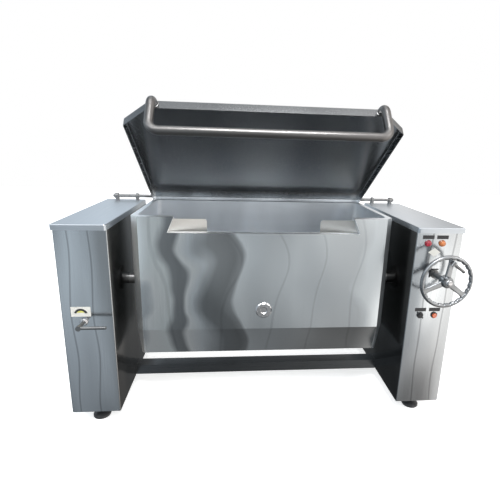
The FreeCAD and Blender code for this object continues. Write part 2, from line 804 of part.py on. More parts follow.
ear_bore = sketch(lug, "XZ_Plane", f"-{foot_half}")
circle(ear_bore, 0, 0, "crank_pin + pin_fit")
feature(lug, "Pocket", ear_bore, f"2 * {foot_half}", flip=True)
on_wheel(lug, -value("crank_lean"), crank_x, crank_z, "crank_raise")
pin = new_body("crank_pin")
pin_section = sketch(pin, "XZ_Plane", f"-{foot_half}")
circle(pin_section, 0, 0, "crank_pin")
feature(pin, "Pad", pin_section, f"2 * {foot_half}")
on_wheel(pin, -value("crank_lean"), crank_x, crank_z, "crank_raise")
crank = new_body("crank_handle")
handle_section = sketch(crank, "XY_Plane")
polygon(handle_section, [
    (0, 0), (0, "crank_radius * 0.7"), ("crank_eye + 4", "crank_radius * 0.7"),
    ("crank_eye + 8", "crank_radius"), ("crank_length - 14", "crank_radius * 0.8"),
    ("crank_length - 4", "crank_radius"), ("crank_length", "crank_radius * 0.6"), ("crank_length", 0)])
turned(crank, handle_section, "H_Axis")
eye_section = sketch(crank, "XZ_Plane", "-crank_eye_width / 2")
circle(eye_section, 0, 0, "crank_eye")
feature(crank, "Pad", eye_section, "crank_eye_width")
eye_bore = sketch(crank, "XZ_Plane", "-crank_eye_width / 2")
circle(eye_bore, 0, 0, "crank_pin + pin_fit")
feature(crank, "Pocket", eye_bore, "crank_eye_width", flip=True)
on_wheel(crank, -value("crank_lean"), crank_x, crank_z, "crank_raise")

# Gearbox housing on the right bearing, closed, with a bore for each shaft
gearbox = new_body("gearbox")
gear_box_start = "inner_x + column_wall + bearing_length"
box_section = sketch(gearbox, "YZ_Plane", gear_box_start)
rectangle(box_section, "pivot_y - gearbox_half", "pivot_z - gearbox_half", "pivot_y + gearbox_half",
          "wheel_z + gearbox_margin")
feature(gearbox, "Pad", box_section, "gearbox_reach")
drive_bore = sketch(gearbox, "YZ_Plane", gear_box_start)
circle(drive_bore, "pivot_y", "pivot_z", "pivot_radius + pivot_fit")
feature(gearbox, "Pocket", drive_bore, "gearbox_reach", flip=True)
worm_bore = sketch(gearbox, "XZ_Plane", "-(pivot_y - gearbox_half)")
circle(worm_bore, "wheel_x", "wheel_z", "shaft_radius + shaft_fit")
feature(gearbox, "Pocket", worm_bore, "2 * gearbox_half")


# Controls on the right column's front
def lamp(name, x):
    ring = turned_piece(f"lamp_ring_{name}", [
        (0, 0), ("lamp_radius", 0), ("lamp_radius", "lamp_ring - 1"), ("lamp_radius - 1", "lamp_ring"),
        (0, "lamp_ring")])
    facing_front(ring, x, "front", "lamp_z")
    lens = turned_piece(f"lamp_lens_{name}", [
        (0, 0), ("lens_radius", 0), ("lens_radius", "lens_height * 0.45"),
        ("lens_radius * 0.86", "lens_height * 0.75"), ("lens_radius * 0.55", "lens_height * 0.94"),
        (0, "lens_height")])
    facing_front(lens, x, "front - lamp_ring", "lamp_z")


lamp("red", "lamp_left_x")
lamp("amber", "lamp_right_x")


def plate(name, x, z, length, height, thick):
    """A plain rectangular plate on the front of a column."""
    made = doc.addObject("Part::Box", name)
    made.Label = name
    bind(made, Length=length, Width=thick, Height=height)
    place(made, f"{x} - {length} / 2", f"front - {thick}", f"{z} - {height} / 2")
    return made


STRIPS = [("lamp_left_x", "strip_upper_z"), ("lamp_right_x", "strip_upper_z"),
          ("switch_left_x", "strip_lower_z"), ("switch_right_x", "strip_lower_z")]
for number, (x, z) in enumerate(STRIPS, start=1):
    plate(f"blank_strip_{number}", x, z, "strip_length", "strip_height", "strip_thick")
diamond = new_body("blank_diamond")
diamond_outline = sketch(diamond, "XZ_Plane", "-front")
polygon(diamond_outline, [
    ("diamond_x - diamond_length / 2", "diamond_z"), ("diamond_x", "diamond_z - diamond_height / 2"),
    ("diamond_x + diamond_length / 2", "diamond_z"), ("diamond_x", "diamond_z + diamond_height / 2")])
feature(diamond, "Pad", diamond_outline, "strip_thick")


def switch_ring(name, x, opening):
    ring = turned_piece(name, [
        (opening, 0), ("switch_radius", 0), ("switch_radius", "switch_ring - 1"),
        ("switch_radius - 1", "switch_ring"), (opening, "switch_ring")])
    facing_front(ring, x, "front", "switch_z")


switch_ring("selector_ring", "switch_left_x", "knob_radius + button_gap")
knob = turned_piece("selector_knob", [
    (0, 0), ("knob_radius", 0), ("knob_radius", "knob_height * 0.4"),
    ("knob_radius - 1", "knob_height * 0.45"), (0, "knob_height * 0.45")])
grip_bar = sketch(knob, "XY_Plane", "knob_height * 0.3")
rectangle(grip_bar, "-knob_grip / 2", "-knob_radius * 0.92", "knob_grip / 2", "knob_radius * 0.92")
feature(knob, "Pad", grip_bar, "knob_height * 0.7")
knob_facing = Rotation(Vector(1, 0, 0), 90) * Rotation(Vector(0, 0, 1), value("knob_turn"))
knob.Placement = Placement(Vector(0, 0, 0), knob_facing)
place(knob, "switch_left_x", "front", "switch_z")
switch_ring("button_ring", "switch_right_x", "button_radius + button_gap")
button = turned_piece("push_button", [
    (0, 0), ("button_radius", 0), ("button_radius", "button_height - 2"),
    ("button_radius - 2", "button_height"), (0, "button_height")])
facing_front(button, "switch_right_x", "front", "switch_z")

# Valve lever on the left column, its boss and its scale
boss = turned_piece("lever_boss", [
    ("lever_spindle + lever_fit", 0), ("lever_boss", 0), ("lever_boss", "lever_boss_thick * 0.5"),
    ("lever_boss - 4", "lever_boss_thick"), ("lever_spindle + lever_fit", "lever_boss_thick")])
facing_front(boss, "-lever_x", "front", "lever_z")
lever = turned_piece("valve_lever", [
    (0, "-lever_inside"), ("lever_spindle", "-lever_inside"), ("lever_spindle", "lever_reach - 16"),
    ("lever_spindle + 3", "lever_reach - 14"), ("lever_spindle + 3", "lever_reach"), (0, "lever_reach")])
arm_section = sketch(lever, "YZ_Plane")
circle(arm_section, 0, "lever_reach - 7", "lever_rod")
feature(lever, "Pad", arm_section, "lever_arm")
facing_front(lever, "-lever_x", "front", "lever_z")
plate("scale_plate", "-scale_x", "scale_z", "scale_length", "scale_height", "scale_thick")
arc = new_body("scale_arc")
arc_section = sketch(arc, "XZ_Plane")
rectangle(arc_section, "scale_arc - scale_band", 0, "scale_arc", "strip_thick")
arc_turn = turned(arc, arc_section)
arc_turn.Angle = 140
arc.Placement = Placement(Vector(0, 0, 0), Rotation(Vector(1, 0, 0), 90) * Rotation(Vector(0, 0, 1), 20))
place(arc, "-scale_x", "front - scale_thick", "scale_z - scale_arc / 2")

# Gas inlet at the back of the left column
inlet = turned_piece("gas_inlet", [
    ("inlet_radius * 0.75", "-inlet_inside"), ("inlet_radius", "-inlet_inside"),
    ("inlet_radius", 0), ("inlet_nut", 0), ("inlet_nut", "inlet_nut_thick"),
    ("inlet_radius", "inlet_nut_thick"), ("inlet_radius", "inlet_reach"),
    ("inlet_radius * 0.75", "inlet_reach")])
inlet.Placement = Placement(Vector(0, 0, 0), Rotation(Vector(1, 0, 0), -90))
place(inlet, "-inlet_x", "back", "inlet_z")

# Every node goes to its own file once the whole document is sound
doc.recompute()
KINDS = ("PartDesign::Body", "Part::Box", "Part::Feature")
nodes = [thing for thing in doc.Objects if thing.TypeId in KINDS]
for thing in doc.Objects:
    if {"Invalid", "Error"} & set(thing.State):
        raise RuntimeError(f"{thing.Label} did not build")
for node in nodes:
    if node.Shape.isNull() or not node.Shape.isValid() or not node.Shape.Solids:
        raise RuntimeError(f"{node.Label} is not a sound solid")
    node.Shape.exportStep(f"parts/{node.Label}.step")
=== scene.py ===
"""Looks of the bratt pan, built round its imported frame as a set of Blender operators."""

import math

import bmesh
import bpy
import numpy as np
from mathutils import Matrix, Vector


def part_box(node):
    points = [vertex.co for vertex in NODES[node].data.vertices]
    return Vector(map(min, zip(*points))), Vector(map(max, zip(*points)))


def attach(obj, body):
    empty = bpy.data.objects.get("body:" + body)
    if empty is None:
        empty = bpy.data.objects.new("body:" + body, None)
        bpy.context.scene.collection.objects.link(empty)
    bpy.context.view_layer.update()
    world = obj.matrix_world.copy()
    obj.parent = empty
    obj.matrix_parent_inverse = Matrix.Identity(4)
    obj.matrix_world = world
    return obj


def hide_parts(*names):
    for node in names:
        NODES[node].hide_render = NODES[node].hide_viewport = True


bl_info = {
    "name": "Bratt pan looks",
    "version": (1, 0, 0),
    "blender": (4, 5, 0),
    "location": "View3D > Sidebar > Bratt Pan",
    "description": "Builds the finished look of a tilting bratt pan over its packed frame",
    "category": "Add Mesh",
}

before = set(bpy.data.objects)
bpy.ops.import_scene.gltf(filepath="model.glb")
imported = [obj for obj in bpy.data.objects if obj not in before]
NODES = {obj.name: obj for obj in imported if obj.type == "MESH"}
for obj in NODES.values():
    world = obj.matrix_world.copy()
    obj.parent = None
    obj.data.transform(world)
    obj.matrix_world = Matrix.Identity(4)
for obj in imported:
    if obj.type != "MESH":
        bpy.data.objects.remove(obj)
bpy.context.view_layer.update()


def low(node):
    return np.array(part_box(node)[0], dtype=float)


def high(node):
    return np.array(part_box(node)[1], dtype=float)


def size(node):
    return high(node) - low(node)


def middle(node):
    return (low(node) + high(node)) / 2


# Sizes that only the looks have, and the colours of the finishes

class BrattSizes(bpy.types.PropertyGroup):
    """Sizes of the finished pieces that the frame doesn't hold."""
    cover_edge: bpy.props.FloatProperty(
        name="Cover edge", description="Radius of the pressed edge round a column's cover",
        default=0.003, min=0.001, max=0.01, unit="LENGTH", subtype="DISTANCE")
    cover_corner: bpy.props.FloatProperty(
        name="Cover corner", description="Radius of a cover's corners in plan",
        default=0.009, min=0.002, max=0.03, unit="LENGTH", subtype="DISTANCE")
    column_fold: bpy.props.FloatProperty(
        name="Column fold", description="Radius of the upright folds of a column",
        default=0.0035, min=0.001, max=0.01, unit="LENGTH", subtype="DISTANCE")
    lid_fold: bpy.props.FloatProperty(
        name="Lid fold", description="Radius of the fold between the lid's top and its skirt",
        default=0.006, min=0.002, max=0.015, unit="LENGTH", subtype="DISTANCE")
    lid_corner: bpy.props.FloatProperty(
        name="Lid corner", description="Radius of the lid's corners in plan",
        default=0.008, min=0.002, max=0.03, unit="LENGTH", subtype="DISTANCE")
    sheet: bpy.props.FloatProperty(
        name="Sheet", description="Thickness of the lid's and the columns' sheet",
        default=0.002, min=0.001, max=0.004, unit="LENGTH", subtype="DISTANCE")
    grip_bend: bpy.props.FloatProperty(
        name="Grip bend", description="Radius of the bends of the lid's grip",
        default=0.036, min=0.02, max=0.08, unit="LENGTH", subtype="DISTANCE")
    finger_grips: bpy.props.IntProperty(
        name="Finger grips", description="Finger grips round the inside of the handwheel's rim",
        default=24, min=8, max=40)
    grip_depth: bpy.props.FloatProperty(
        name="Finger grip depth", description="How deep a finger grip is pressed into the rim",
        default=0.0035, min=0.0, max=0.006, unit="LENGTH", subtype="DISTANCE")
    spoke_turn: bpy.props.FloatProperty(
        name="Spoke turn", description="Where the upper spoke stands, from the right side of the wheel",
        default=math.radians(84), subtype="ANGLE", unit="ROTATION")
    lens_flutes: bpy.props.IntProperty(
        name="Lens flutes", description="Upright flutes round a signal lamp's lens",
        default=28, min=0, max=60)
    rim_thick: bpy.props.FloatProperty(
        name="Rim thickness", description="Thickness of the handwheel's rim",
        default=0.017, min=0.008, max=0.03, unit="LENGTH", subtype="DISTANCE")
    spoke_width: bpy.props.FloatProperty(
        name="Spoke width", description="Width of a spoke at the hub",
        default=0.024, min=0.008, max=0.03, unit="LENGTH", subtype="DISTANCE")
    spoke_thick: bpy.props.FloatProperty(
        name="Spoke thickness", description="Thickness of a spoke",
        default=0.0092, min=0.004, max=0.015, unit="LENGTH", subtype="DISTANCE")
    hub_radius: bpy.props.FloatProperty(
        name="Hub radius", description="Radius of the handwheel's hub",
        default=0.024, min=0.015, max=0.035, unit="LENGTH", subtype="DISTANCE")


LID_HINGE = np.array([0, (low("lid_rod_right")[1] + high("lid_rod_right")[1]) / 2,
                      (low("lid_rod_right")[2] + high("lid_rod_right")[2]) / 2])
LID_OPEN = math.radians(36)


class BrattNotch(bpy.types.PropertyGroup):
    """The pouring notch in the pan's front, as the frame has it, and the lip that closes it."""
    half: bpy.props.FloatProperty(
        name="Half width", description="Half the notch's width at the pan's top", default=0.372,
        unit="LENGTH", subtype="DISTANCE")
    flare: bpy.props.FloatProperty(
        name="Flare", description="How much wider each side is at the notch's foot", default=0.028,
        unit="LENGTH", subtype="DISTANCE")
    depth: bpy.props.FloatProperty(
        name="Depth", description="From the pan's top down to the notch's foot", default=0.066,
        unit="LENGTH", subtype="DISTANCE")
    skin: bpy.props.FloatProperty(
        name="Shell sheet", description="Thickness of the pan's outer sheet", default=0.002,
        unit="LENGTH", subtype="DISTANCE")
    wall: bpy.props.FloatProperty(
        name="Tub wall", description="Thickness of the tub's wall and rim", default=0.003,
        unit="LENGTH", subtype="DISTANCE")
    rim: bpy.props.FloatProperty(
        name="Rim width", description="From the pan's front to the inside of the tub", default=0.03,
        unit="LENGTH", subtype="DISTANCE")
    bend: bpy.props.FloatProperty(
        name="Bend", description="Radius of the lip's bends at the notch's foot", default=0.003,
        unit="LENGTH", subtype="DISTANCE")


class BrattLid(bpy.types.PropertyGroup):
    """The lid and its grip, as they were drawn on the closed lid about its hinge."""
    half: bpy.props.FloatProperty(
        name="Half width", description="Half the lid's width", default=high("lid_panel")[0],
        unit="LENGTH", subtype="DISTANCE")
    length: bpy.props.FloatProperty(
        name="Length", description="From the hinge to the front skirt", default=0.729,
        unit="LENGTH", subtype="DISTANCE")
    back: bpy.props.FloatProperty(
        name="Back", description="From the hinge to the back skirt", default=0.009,
        unit="LENGTH", subtype="DISTANCE")
    drop: bpy.props.FloatProperty(
        name="Drop", description="Lid's top below the hinge", default=0.0045,
        unit="LENGTH", subtype="DISTANCE")
    skirt: bpy.props.FloatProperty(
        name="Skirt", description="Height of the skirt", default=0.036, unit="LENGTH", subtype="DISTANCE")
    chamfer_x: bpy.props.FloatProperty(
        name="Chamfer across", description="Width of the cut front corners", default=0.114,
        unit="LENGTH", subtype="DISTANCE")
    chamfer_y: bpy.props.FloatProperty(
        name="Chamfer back", description="Length of the cut front corners", default=0.102,
        unit="LENGTH", subtype="DISTANCE")
    grip_half: bpy.props.FloatProperty(
        name="Grip half width", description="From the middle to each arm of the grip",
        default=high("lid_grip")[0] - 0.016, unit="LENGTH", subtype="DISTANCE")
    grip_radius: bpy.props.FloatProperty(
        name="Grip radius", description="Radius of the grip's tube", default=0.016,
        unit="LENGTH", subtype="DISTANCE")
    grip_reach: bpy.props.FloatProperty(
        name="Grip reach", description="How far the grip stands out from the skirt", default=0.04,
        unit="LENGTH", subtype="DISTANCE")
    grip_drop: bpy.props.FloatProperty(
        name="Grip drop", description="How far the grip's bar hangs below its arms", default=0.144,
        unit="LENGTH", subtype="DISTANCE")


class BrattColours(bpy.types.PropertyGroup):
    """Colours of the finishes, as a user would mix them."""
    column: bpy.props.FloatVectorProperty(
        name="Column steel", description="Bright sheet of the columns",
        default=(0.58, 0.61, 0.635), size=3, subtype="COLOR", min=0, max=1)
    cover: bpy.props.FloatVectorProperty(
        name="Cover steel", description="Satin sheet of the covers",
        default=(0.60, 0.64, 0.68), size=3, subtype="COLOR", min=0, max=1)
    pan: bpy.props.FloatVectorProperty(
        name="Pan steel", description="Polished front and sides of the pan",
        default=(0.56, 0.59, 0.61), size=3, subtype="COLOR", min=0, max=1)
    tub: bpy.props.FloatVectorProperty(
        name="Tub steel", description="Pale satin sheet of the tub and its rim",
        default=(0.92, 0.96, 1.0), size=3, subtype="COLOR", min=0, max=1)
    # The guides' warm tint is a painted reflection of warmer surroundings that they mirror.
    guide: bpy.props.FloatVectorProperty(
        name="Guide steel", description="Warm satin sheet of the pouring guides",
        default=(0.55, 0.54, 0.515), size=3, subtype="COLOR", min=0, max=1)
    # The lid's colour beside its hinge. lid_sheet paints the rest of the lid darker, as painted shade.
    lid: bpy.props.FloatVectorProperty(
        name="Lid steel", description="Satin sheet of the lid beside its hinge",
        default=(0.83, 0.853, 0.876), size=3, subtype="COLOR", min=0, max=1)
    grip: bpy.props.FloatVectorProperty(
        name="Grip steel", description="Warm grey tube of the lid's grip",
        default=(0.17, 0.165, 0.162), size=3, subtype="COLOR", min=0, max=1)
    wheel: bpy.props.FloatVectorProperty(
        name="Wheel metal", description="Cast light metal of the handwheel",
        default=(0.30, 0.31, 0.32), size=3, subtype="COLOR", min=0, max=1)
    red: bpy.props.FloatVectorProperty(
        name="Red lens", description="Lens of the left signal lamp",
        default=(0.27, 0.018, 0.032), size=3, subtype="COLOR", min=0, max=1)
    amber: bpy.props.FloatVectorProperty(
        name="Amber lens", description="Lens of the right signal lamp",
        default=(0.42, 0.14, 0.045), size=3, subtype="COLOR", min=0, max=1)
    floor: bpy.props.FloatVectorProperty(
        name="Floor", description="Pale floor of the stage",
        default=(0.90, 0.90, 0.895), size=3, subtype="COLOR", min=0, max=1)


class BrattStage(bpy.types.PropertyGroup):
    """Where the camera stands and how it looks."""
    camera_place: bpy.props.FloatVectorProperty(
        name="Camera place", description="Where the camera stands",
        default=(-0.1309, -1.7131, 1.1605), size=3, subtype="TRANSLATION", unit="LENGTH")
    camera_yaw: bpy.props.FloatProperty(
        name="Camera yaw", description="Turn of the view from straight ahead towards the right",
        default=0.0967, subtype="ANGLE", unit="ROTATION")
    camera_pitch: bpy.props.FloatProperty(
        name="Camera pitch", description="Tilt of the view down from level",
        default=0.2509, subtype="ANGLE", unit="ROTATION")
    camera_roll: bpy.props.FloatProperty(
        name="Camera roll", description="Roll of the camera about its own view",
        default=0.0298, subtype="ANGLE", unit="ROTATION")
    lens: bpy.props.FloatProperty(
        name="Lens", description="Focal length on a 36 mm sensor, in millimetres",
        default=27.51, min=10, max=200)
    shift_x: bpy.props.FloatProperty(
        name="Shift across", description="Lens shift across, in widths of the picture", default=-0.0393)
    shift_y: bpy.props.FloatProperty(
        name="Shift up", description="Lens shift upwards, in widths of the picture", default=-0.014)
    floor_glow: bpy.props.FloatProperty(
        name="Floor glow", description="Light that the floor gives of its own, to soften the shadow",
        default=0.7, min=0, max=2)


# Meshes

def add_mesh(name, points, faces, body, material, smooth_angle=35):
    """A finished object at the origin, with its place in its mesh, riding on a CAD body."""
    mesh = bpy.data.meshes.new(name)
    mesh.from_pydata(np.asarray(points).reshape(-1, 3).tolist(), [], faces)
    mesh.validate()
    mesh.update()
    mesh.shade_smooth()
    mesh.set_sharp_from_angle(angle=math.radians(smooth_angle))
    mesh.materials.append(material)
    made = bpy.data.objects.new(name, mesh)
    bpy.context.scene.collection.objects.link(made)
    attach(made, body)
    return made


def turn_out(made):
    """Turn a closed piece's faces outwards."""
    shape = bmesh.new()
    shape.from_mesh(made.data)
    bmesh.ops.recalc_face_normals(shape, faces=shape.faces)
    shape.to_mesh(made.data)
    shape.free()


def quads(rows, columns, wrap_rows, wrap_columns):
    """Faces of a rows by columns grid of points, whole arrays at a time."""
    i = np.arange(rows if wrap_rows else rows - 1)
    j = np.arange(columns if wrap_columns else columns - 1)
    i, j = np.meshgrid(i, j, indexing="ij")
    after_i = (i + 1) % rows
    after_j = (j + 1) % columns
    corners = [i * columns + j, i * columns + after_j, after_i * columns + after_j, after_i * columns + j]
    return np.stack(corners, axis=-1).reshape(-1, 4).tolist()


def grid_piece(name, grid, body, material, wrap_rows=False, caps=(), smooth_angle=35):
    """A surface over a grid whose columns close round; caps name the end rows to fill."""
    rows, columns = grid.shape[:2]
    faces = quads(rows, columns, wrap_rows, True)
    if "first" in caps:
        faces.append(list(range(columns))[::-1])
    if "last" in caps:
        faces.append(list(range((rows - 1) * columns, rows * columns)))
    return add_mesh(name, grid, faces, body, material, smooth_angle)


def rounded_outline(corners, radius, inset, per_corner=7):
    """A convex outline moved inwards by the inset, with every corner an arc.

    Each corner's arc has its centre where both edges, moved in by inset plus the arc's radius,
    cross; the arc runs from one edge's normal to the next one's in even steps.
    """
    corners = np.asarray(corners, dtype=float)
    radius = np.broadcast_to(np.maximum(radius - inset, 0.0002), (len(corners),))
    come = corners - np.roll(corners, 1, axis=0)
    come /= np.linalg.norm(come, axis=1, keepdims=True)
    leave = np.roll(come, -1, axis=0)
    out_come = np.stack([come[:, 1], -come[:, 0]], axis=1)
    out_leave = np.stack([leave[:, 1], -leave[:, 0]], axis=1)
    spread = 1 + np.sum(out_come * out_leave, axis=1, keepdims=True)
    centres = corners - (out_come + out_leave) / spread * (inset + radius)[:, None]
    start = np.arctan2(out_come[:, 1], out_come[:, 0])
    turn = np.arctan2(np.cross(out_come, out_leave), np.sum(out_come * out_leave, axis=1))
    angle = start[:, None] + turn[:, None] * np.linspace(0, 1, per_corner)
    arc = np.stack([np.cos(angle), np.sin(angle)], axis=2) * radius[:, None, None]
    return (centres[:, None, :] + arc).reshape(-1, 2)


def pressed(corners, radius, profile):
    """Rings of a pressed sheet: each (inset, height) of the profile lays one rounded outline."""
    rings = []
    for inset, height in profile:
        ring = rounded_outline(corners, radius, inset)
        rings.append(np.column_stack([ring, np.full(len(ring), height)]))
    return np.array(rings)


def quarter(radius, steps=6):
    """A quarter circle as (inset, rise) pairs, from the upright wall to the flat top."""
    angle = np.linspace(0, np.pi / 2, steps)
    return np.column_stack([radius * (1 - np.cos(angle)), radius * np.sin(angle)])


def turned(profile, steps=48):
    """A half outline of (radius, height) pairs turned once round the Z axis."""
    profile = np.asarray(profile, dtype=float)
    angle = np.linspace(0, 2 * np.pi, steps, endpoint=False)
    x = profile[:, :1] * np.cos(angle)
    y = profile[:, :1] * np.sin(angle)
    z = np.repeat(profile[:, 1:], steps, axis=1)
    return np.stack([x, y, z], axis=2)


def to_front(grid, place):
    """Points drawn upright, laid with their height along -Y at the given place."""
    return np.stack([grid[..., 0], -grid[..., 2], grid[..., 1]], axis=-1) + np.asarray(place)


def bent_run(corners, radius, steps=12):
    """A run through the corners whose bends are arcs of one radius: points and directions.

    Each bend's points are the corner's two tangent points joined by
    the arc that touches both legs, taken at even steps of the turn.
    """
    corners = np.asarray(corners, dtype=float)
    points = [corners[0]]
    ways = [(corners[1] - corners[0]) / np.linalg.norm(corners[1] - corners[0])]
    for before, corner, after in zip(corners, corners[1:], corners[2:]):
        come = (corner - before) / np.linalg.norm(corner - before)
        leave = (after - corner) / np.linalg.norm(after - corner)
        turn = math.acos(np.clip(np.dot(come, leave), -1, 1))
        inward = leave - come * np.dot(come, leave)
        inward /= np.linalg.norm(inward)
        start = corner - come * radius * math.tan(turn / 2)
        angle = np.linspace(0, turn, steps)[:, None]
        points.extend(start + come * radius * np.sin(angle) + inward * radius * (1 - np.cos(angle)))
        ways.extend(come * np.cos(angle) + inward * np.sin(angle))
    points.append(corners[-1])
    ways.append((corners[-1] - corners[-2]) / np.linalg.norm(corners[-1] - corners[-2]))
    return np.array(points), np.array(ways)


# Materials

class Finish:
    """A node-based material in the making, with a Principled shader."""

    def __init__(self, name, rough, metal):
        self.material = bpy.data.materials.new(name)
        self.material.use_nodes = True
        self.tree = self.material.node_tree
        self.shader = self.tree.nodes["Principled BSDF"]
        self.shader.inputs["Roughness"].default_value = rough
        self.shader.inputs["Metallic"].default_value = metal
        self.coordinates = self.tree.nodes.new("ShaderNodeTexCoord")

    def link(self, output, entry):
        self.tree.links.new(output, entry)

    def mapped(self, stretch, offset=(0, 0, 0)):
        """The piece's own Object coordinates, stretched and moved by a Mapping node."""
        mapping = self.tree.nodes.new("ShaderNodeMapping")
        mapping.inputs["Scale"].default_value = stretch
        mapping.inputs["Location"].default_value = offset
        self.link(self.coordinates.outputs["Object"], mapping.inputs["Vector"])
        return mapping

    def waves(self, stretch, scale, distortion, detail_scale, offset=(0, 0, 0)):
        """Upright bands: sin of 20 scale x, pushed aside by a noise."""
        mapping = self.mapped(stretch, offset)
        waves = self.tree.nodes.new("ShaderNodeTexWave")
        waves.bands_direction = "X"
        waves.inputs["Scale"].default_value = scale
        waves.inputs["Distortion"].default_value = distortion
        waves.inputs["Detail"].default_value = 0.5
        waves.inputs["Detail Scale"].default_value = detail_scale
        self.link(mapping.outputs["Vector"], waves.inputs["Vector"])
        return waves.outputs["Fac"]

    def times(self, one, other):
        """One colour multiplied by another."""
        mix = self.tree.nodes.new("ShaderNodeMix")
        mix.data_type = "RGBA"
        mix.blend_type = "MULTIPLY"
        mix.inputs["Factor"].default_value = 1
        self.link(one, mix.inputs["A"])
        self.link(other, mix.inputs["B"])
        return mix.outputs["Result"]

    def across(self, half, sway, amount):
        """0 to 1 from x = -half to half, swayed aside by an amount times a noise."""
        parts = self.tree.nodes.new("ShaderNodeSeparateXYZ")
        self.link(self.coordinates.outputs["Object"], parts.inputs["Vector"])
        moved = self.tree.nodes.new("ShaderNodeMath")
        moved.operation = "MULTIPLY_ADD"
        self.link(sway, moved.inputs[0])
        moved.inputs[1].default_value = amount
        self.link(parts.outputs["X"], moved.inputs[2])
        place = self.tree.nodes.new("ShaderNodeMapRange")
        place.inputs["From Min"].default_value = amount / 2 - half
        place.inputs["From Max"].default_value = amount / 2 + half
        self.link(moved.outputs["Value"], place.inputs["Value"])
        return place.outputs["Result"]

    def beyond(self, limit):
        """1 where the distance from the middle plane x = 0 is more than the limit, or else 0."""
        parts = self.tree.nodes.new("ShaderNodeSeparateXYZ")
        self.link(self.coordinates.outputs["Object"], parts.inputs["Vector"])
        away = self.tree.nodes.new("ShaderNodeMath")
        away.operation = "ABSOLUTE"
        self.link(parts.outputs["X"], away.inputs[0])
        past = self.tree.nodes.new("ShaderNodeMath")
        past.operation = "GREATER_THAN"
        past.inputs[1].default_value = limit
        self.link(away.outputs["Value"], past.inputs[0])
        return past.outputs["Value"]

    def up(self, first, last):
        """0 to 1 from one height to another."""
        parts = self.tree.nodes.new("ShaderNodeSeparateXYZ")
        self.link(self.coordinates.outputs["Object"], parts.inputs["Vector"])
        place = self.tree.nodes.new("ShaderNodeMapRange")
        place.inputs["From Min"].default_value = first
        place.inputs["From Max"].default_value = last
        self.link(parts.outputs["Z"], place.inputs["Value"])
        return place.outputs["Result"]

    def noise(self, stretch, scale, detail=2.0, distortion=0.0, offset=(0, 0, 0)):
        """Noise over the piece's own Object coordinates."""
        mapping = self.mapped(stretch, offset)
        noise = self.tree.nodes.new("ShaderNodeTexNoise")
        noise.inputs["Scale"].default_value = scale
        noise.inputs["Detail"].default_value = detail
        noise.inputs["Distortion"].default_value = distortion
        self.link(mapping.outputs["Vector"], noise.inputs["Vector"])
        return noise.outputs["Fac"]

    def ramp(self, value, stops):
        """A colour ramp from (position, colour) stops."""
        ramp = self.tree.nodes.new("ShaderNodeValToRGB")
        elements = ramp.color_ramp.elements
        while len(elements) < len(stops):
            elements.new(0.5)
        for element, (position, colour) in zip(elements, stops):
            element.position = position
            element.color = (*colour, 1)
        self.link(value, ramp.inputs["Fac"])
        return ramp.outputs["Color"]

    def spread(self, value, least, most):
        """A value from 0.3 to 0.7 spread between least and most."""
        spread = self.tree.nodes.new("ShaderNodeMapRange")
        spread.inputs["From Min"].default_value = 0.3
        spread.inputs["From Max"].default_value = 0.7
        spread.inputs["To Min"].default_value = least
        spread.inputs["To Max"].default_value = most
        self.link(value, spread.inputs["Value"])
        return spread.outputs["Result"]

    def bump(self, value, strength, distance, under=None):
        bump = self.tree.nodes.new("ShaderNodeBump")
        bump.inputs["Strength"].default_value = strength
        bump.inputs["Distance"].default_value = distance
        self.link(value, bump.inputs["Height"])
        if under is not None:
            self.link(under, bump.inputs["Normal"])
        return bump.outputs["Normal"]


def shade(colour, by):
    return tuple(min(1.0, c * by) for c in colour)


def satin_steel(name, colour, rough, brush, patch, contrast, stretch=(1, 1, 1), deep=None):
    """Satin stainless sheet: soft patches of tone and brushing one way.

    Deep is two heights and a factor, where the tone falls by that factor from one height down to the other.
    """
    made = Finish(name, rough, 1.0)
    patches = made.noise(stretch, patch, 0.5, 0.4)
    tone = made.ramp(patches, [(0.32, shade(colour, 1 - contrast)), (0.5, shade(colour, 1.0)),
                               (0.68, shade(colour, 1 + contrast / 2))])
    if deep:
        low, high, factor = deep
        fall = made.ramp(made.up(low, high), [(0.0, (factor,) * 3), (1.0, (1.0, 1.0, 1.0))])
        tone = made.times(tone, fall)
    made.link(tone, made.shader.inputs["Base Color"])
    lines = made.noise(brush, 9.0, 3.0)
    made.link(made.spread(lines, rough * 0.85, rough * 1.2), made.shader.inputs["Roughness"])
    made.link(made.bump(lines, 0.02, 0.001), made.shader.inputs["Normal"])
    return made.material


def lid_sheet(colour):
    """Satin sheet of the lid with upright patches. Painted light makes the colour palest along the hinge, and
    painted shade lowers it to about a fifth towards the far edge.
    """
    made = Finish("lid_steel", 0.24, 1.0)
    patches = made.ramp(made.noise((1, 0.1, 0.1), 3.4, 0.5, 0.4), [
        (0.32, shade(colour, 0.78)), (0.5, shade(colour, 1.0)), (0.68, shade(colour, 1.11))])
    # Painted light along the hinge and painted shade beyond it: the tone falls from full at the hinge to 0.205 about
    # 9 cm above it.
    pale = made.ramp(made.up(LID_HINGE[2], LID_HINGE[2] + 0.09), [
        (0.0, (1.0, 1.0, 1.0)), (0.35, (0.50, 0.50, 0.50)), (1.0, (0.205, 0.205, 0.205))])
    made.link(made.times(patches, pale), made.shader.inputs["Base Color"])
    lines = made.noise((40, 0.6, 40), 9.0, 3.0)
    made.link(made.spread(lines, 0.20, 0.29), made.shader.inputs["Roughness"])
    made.link(made.bump(lines, 0.02, 0.001), made.shader.inputs["Normal"])
    return made.material


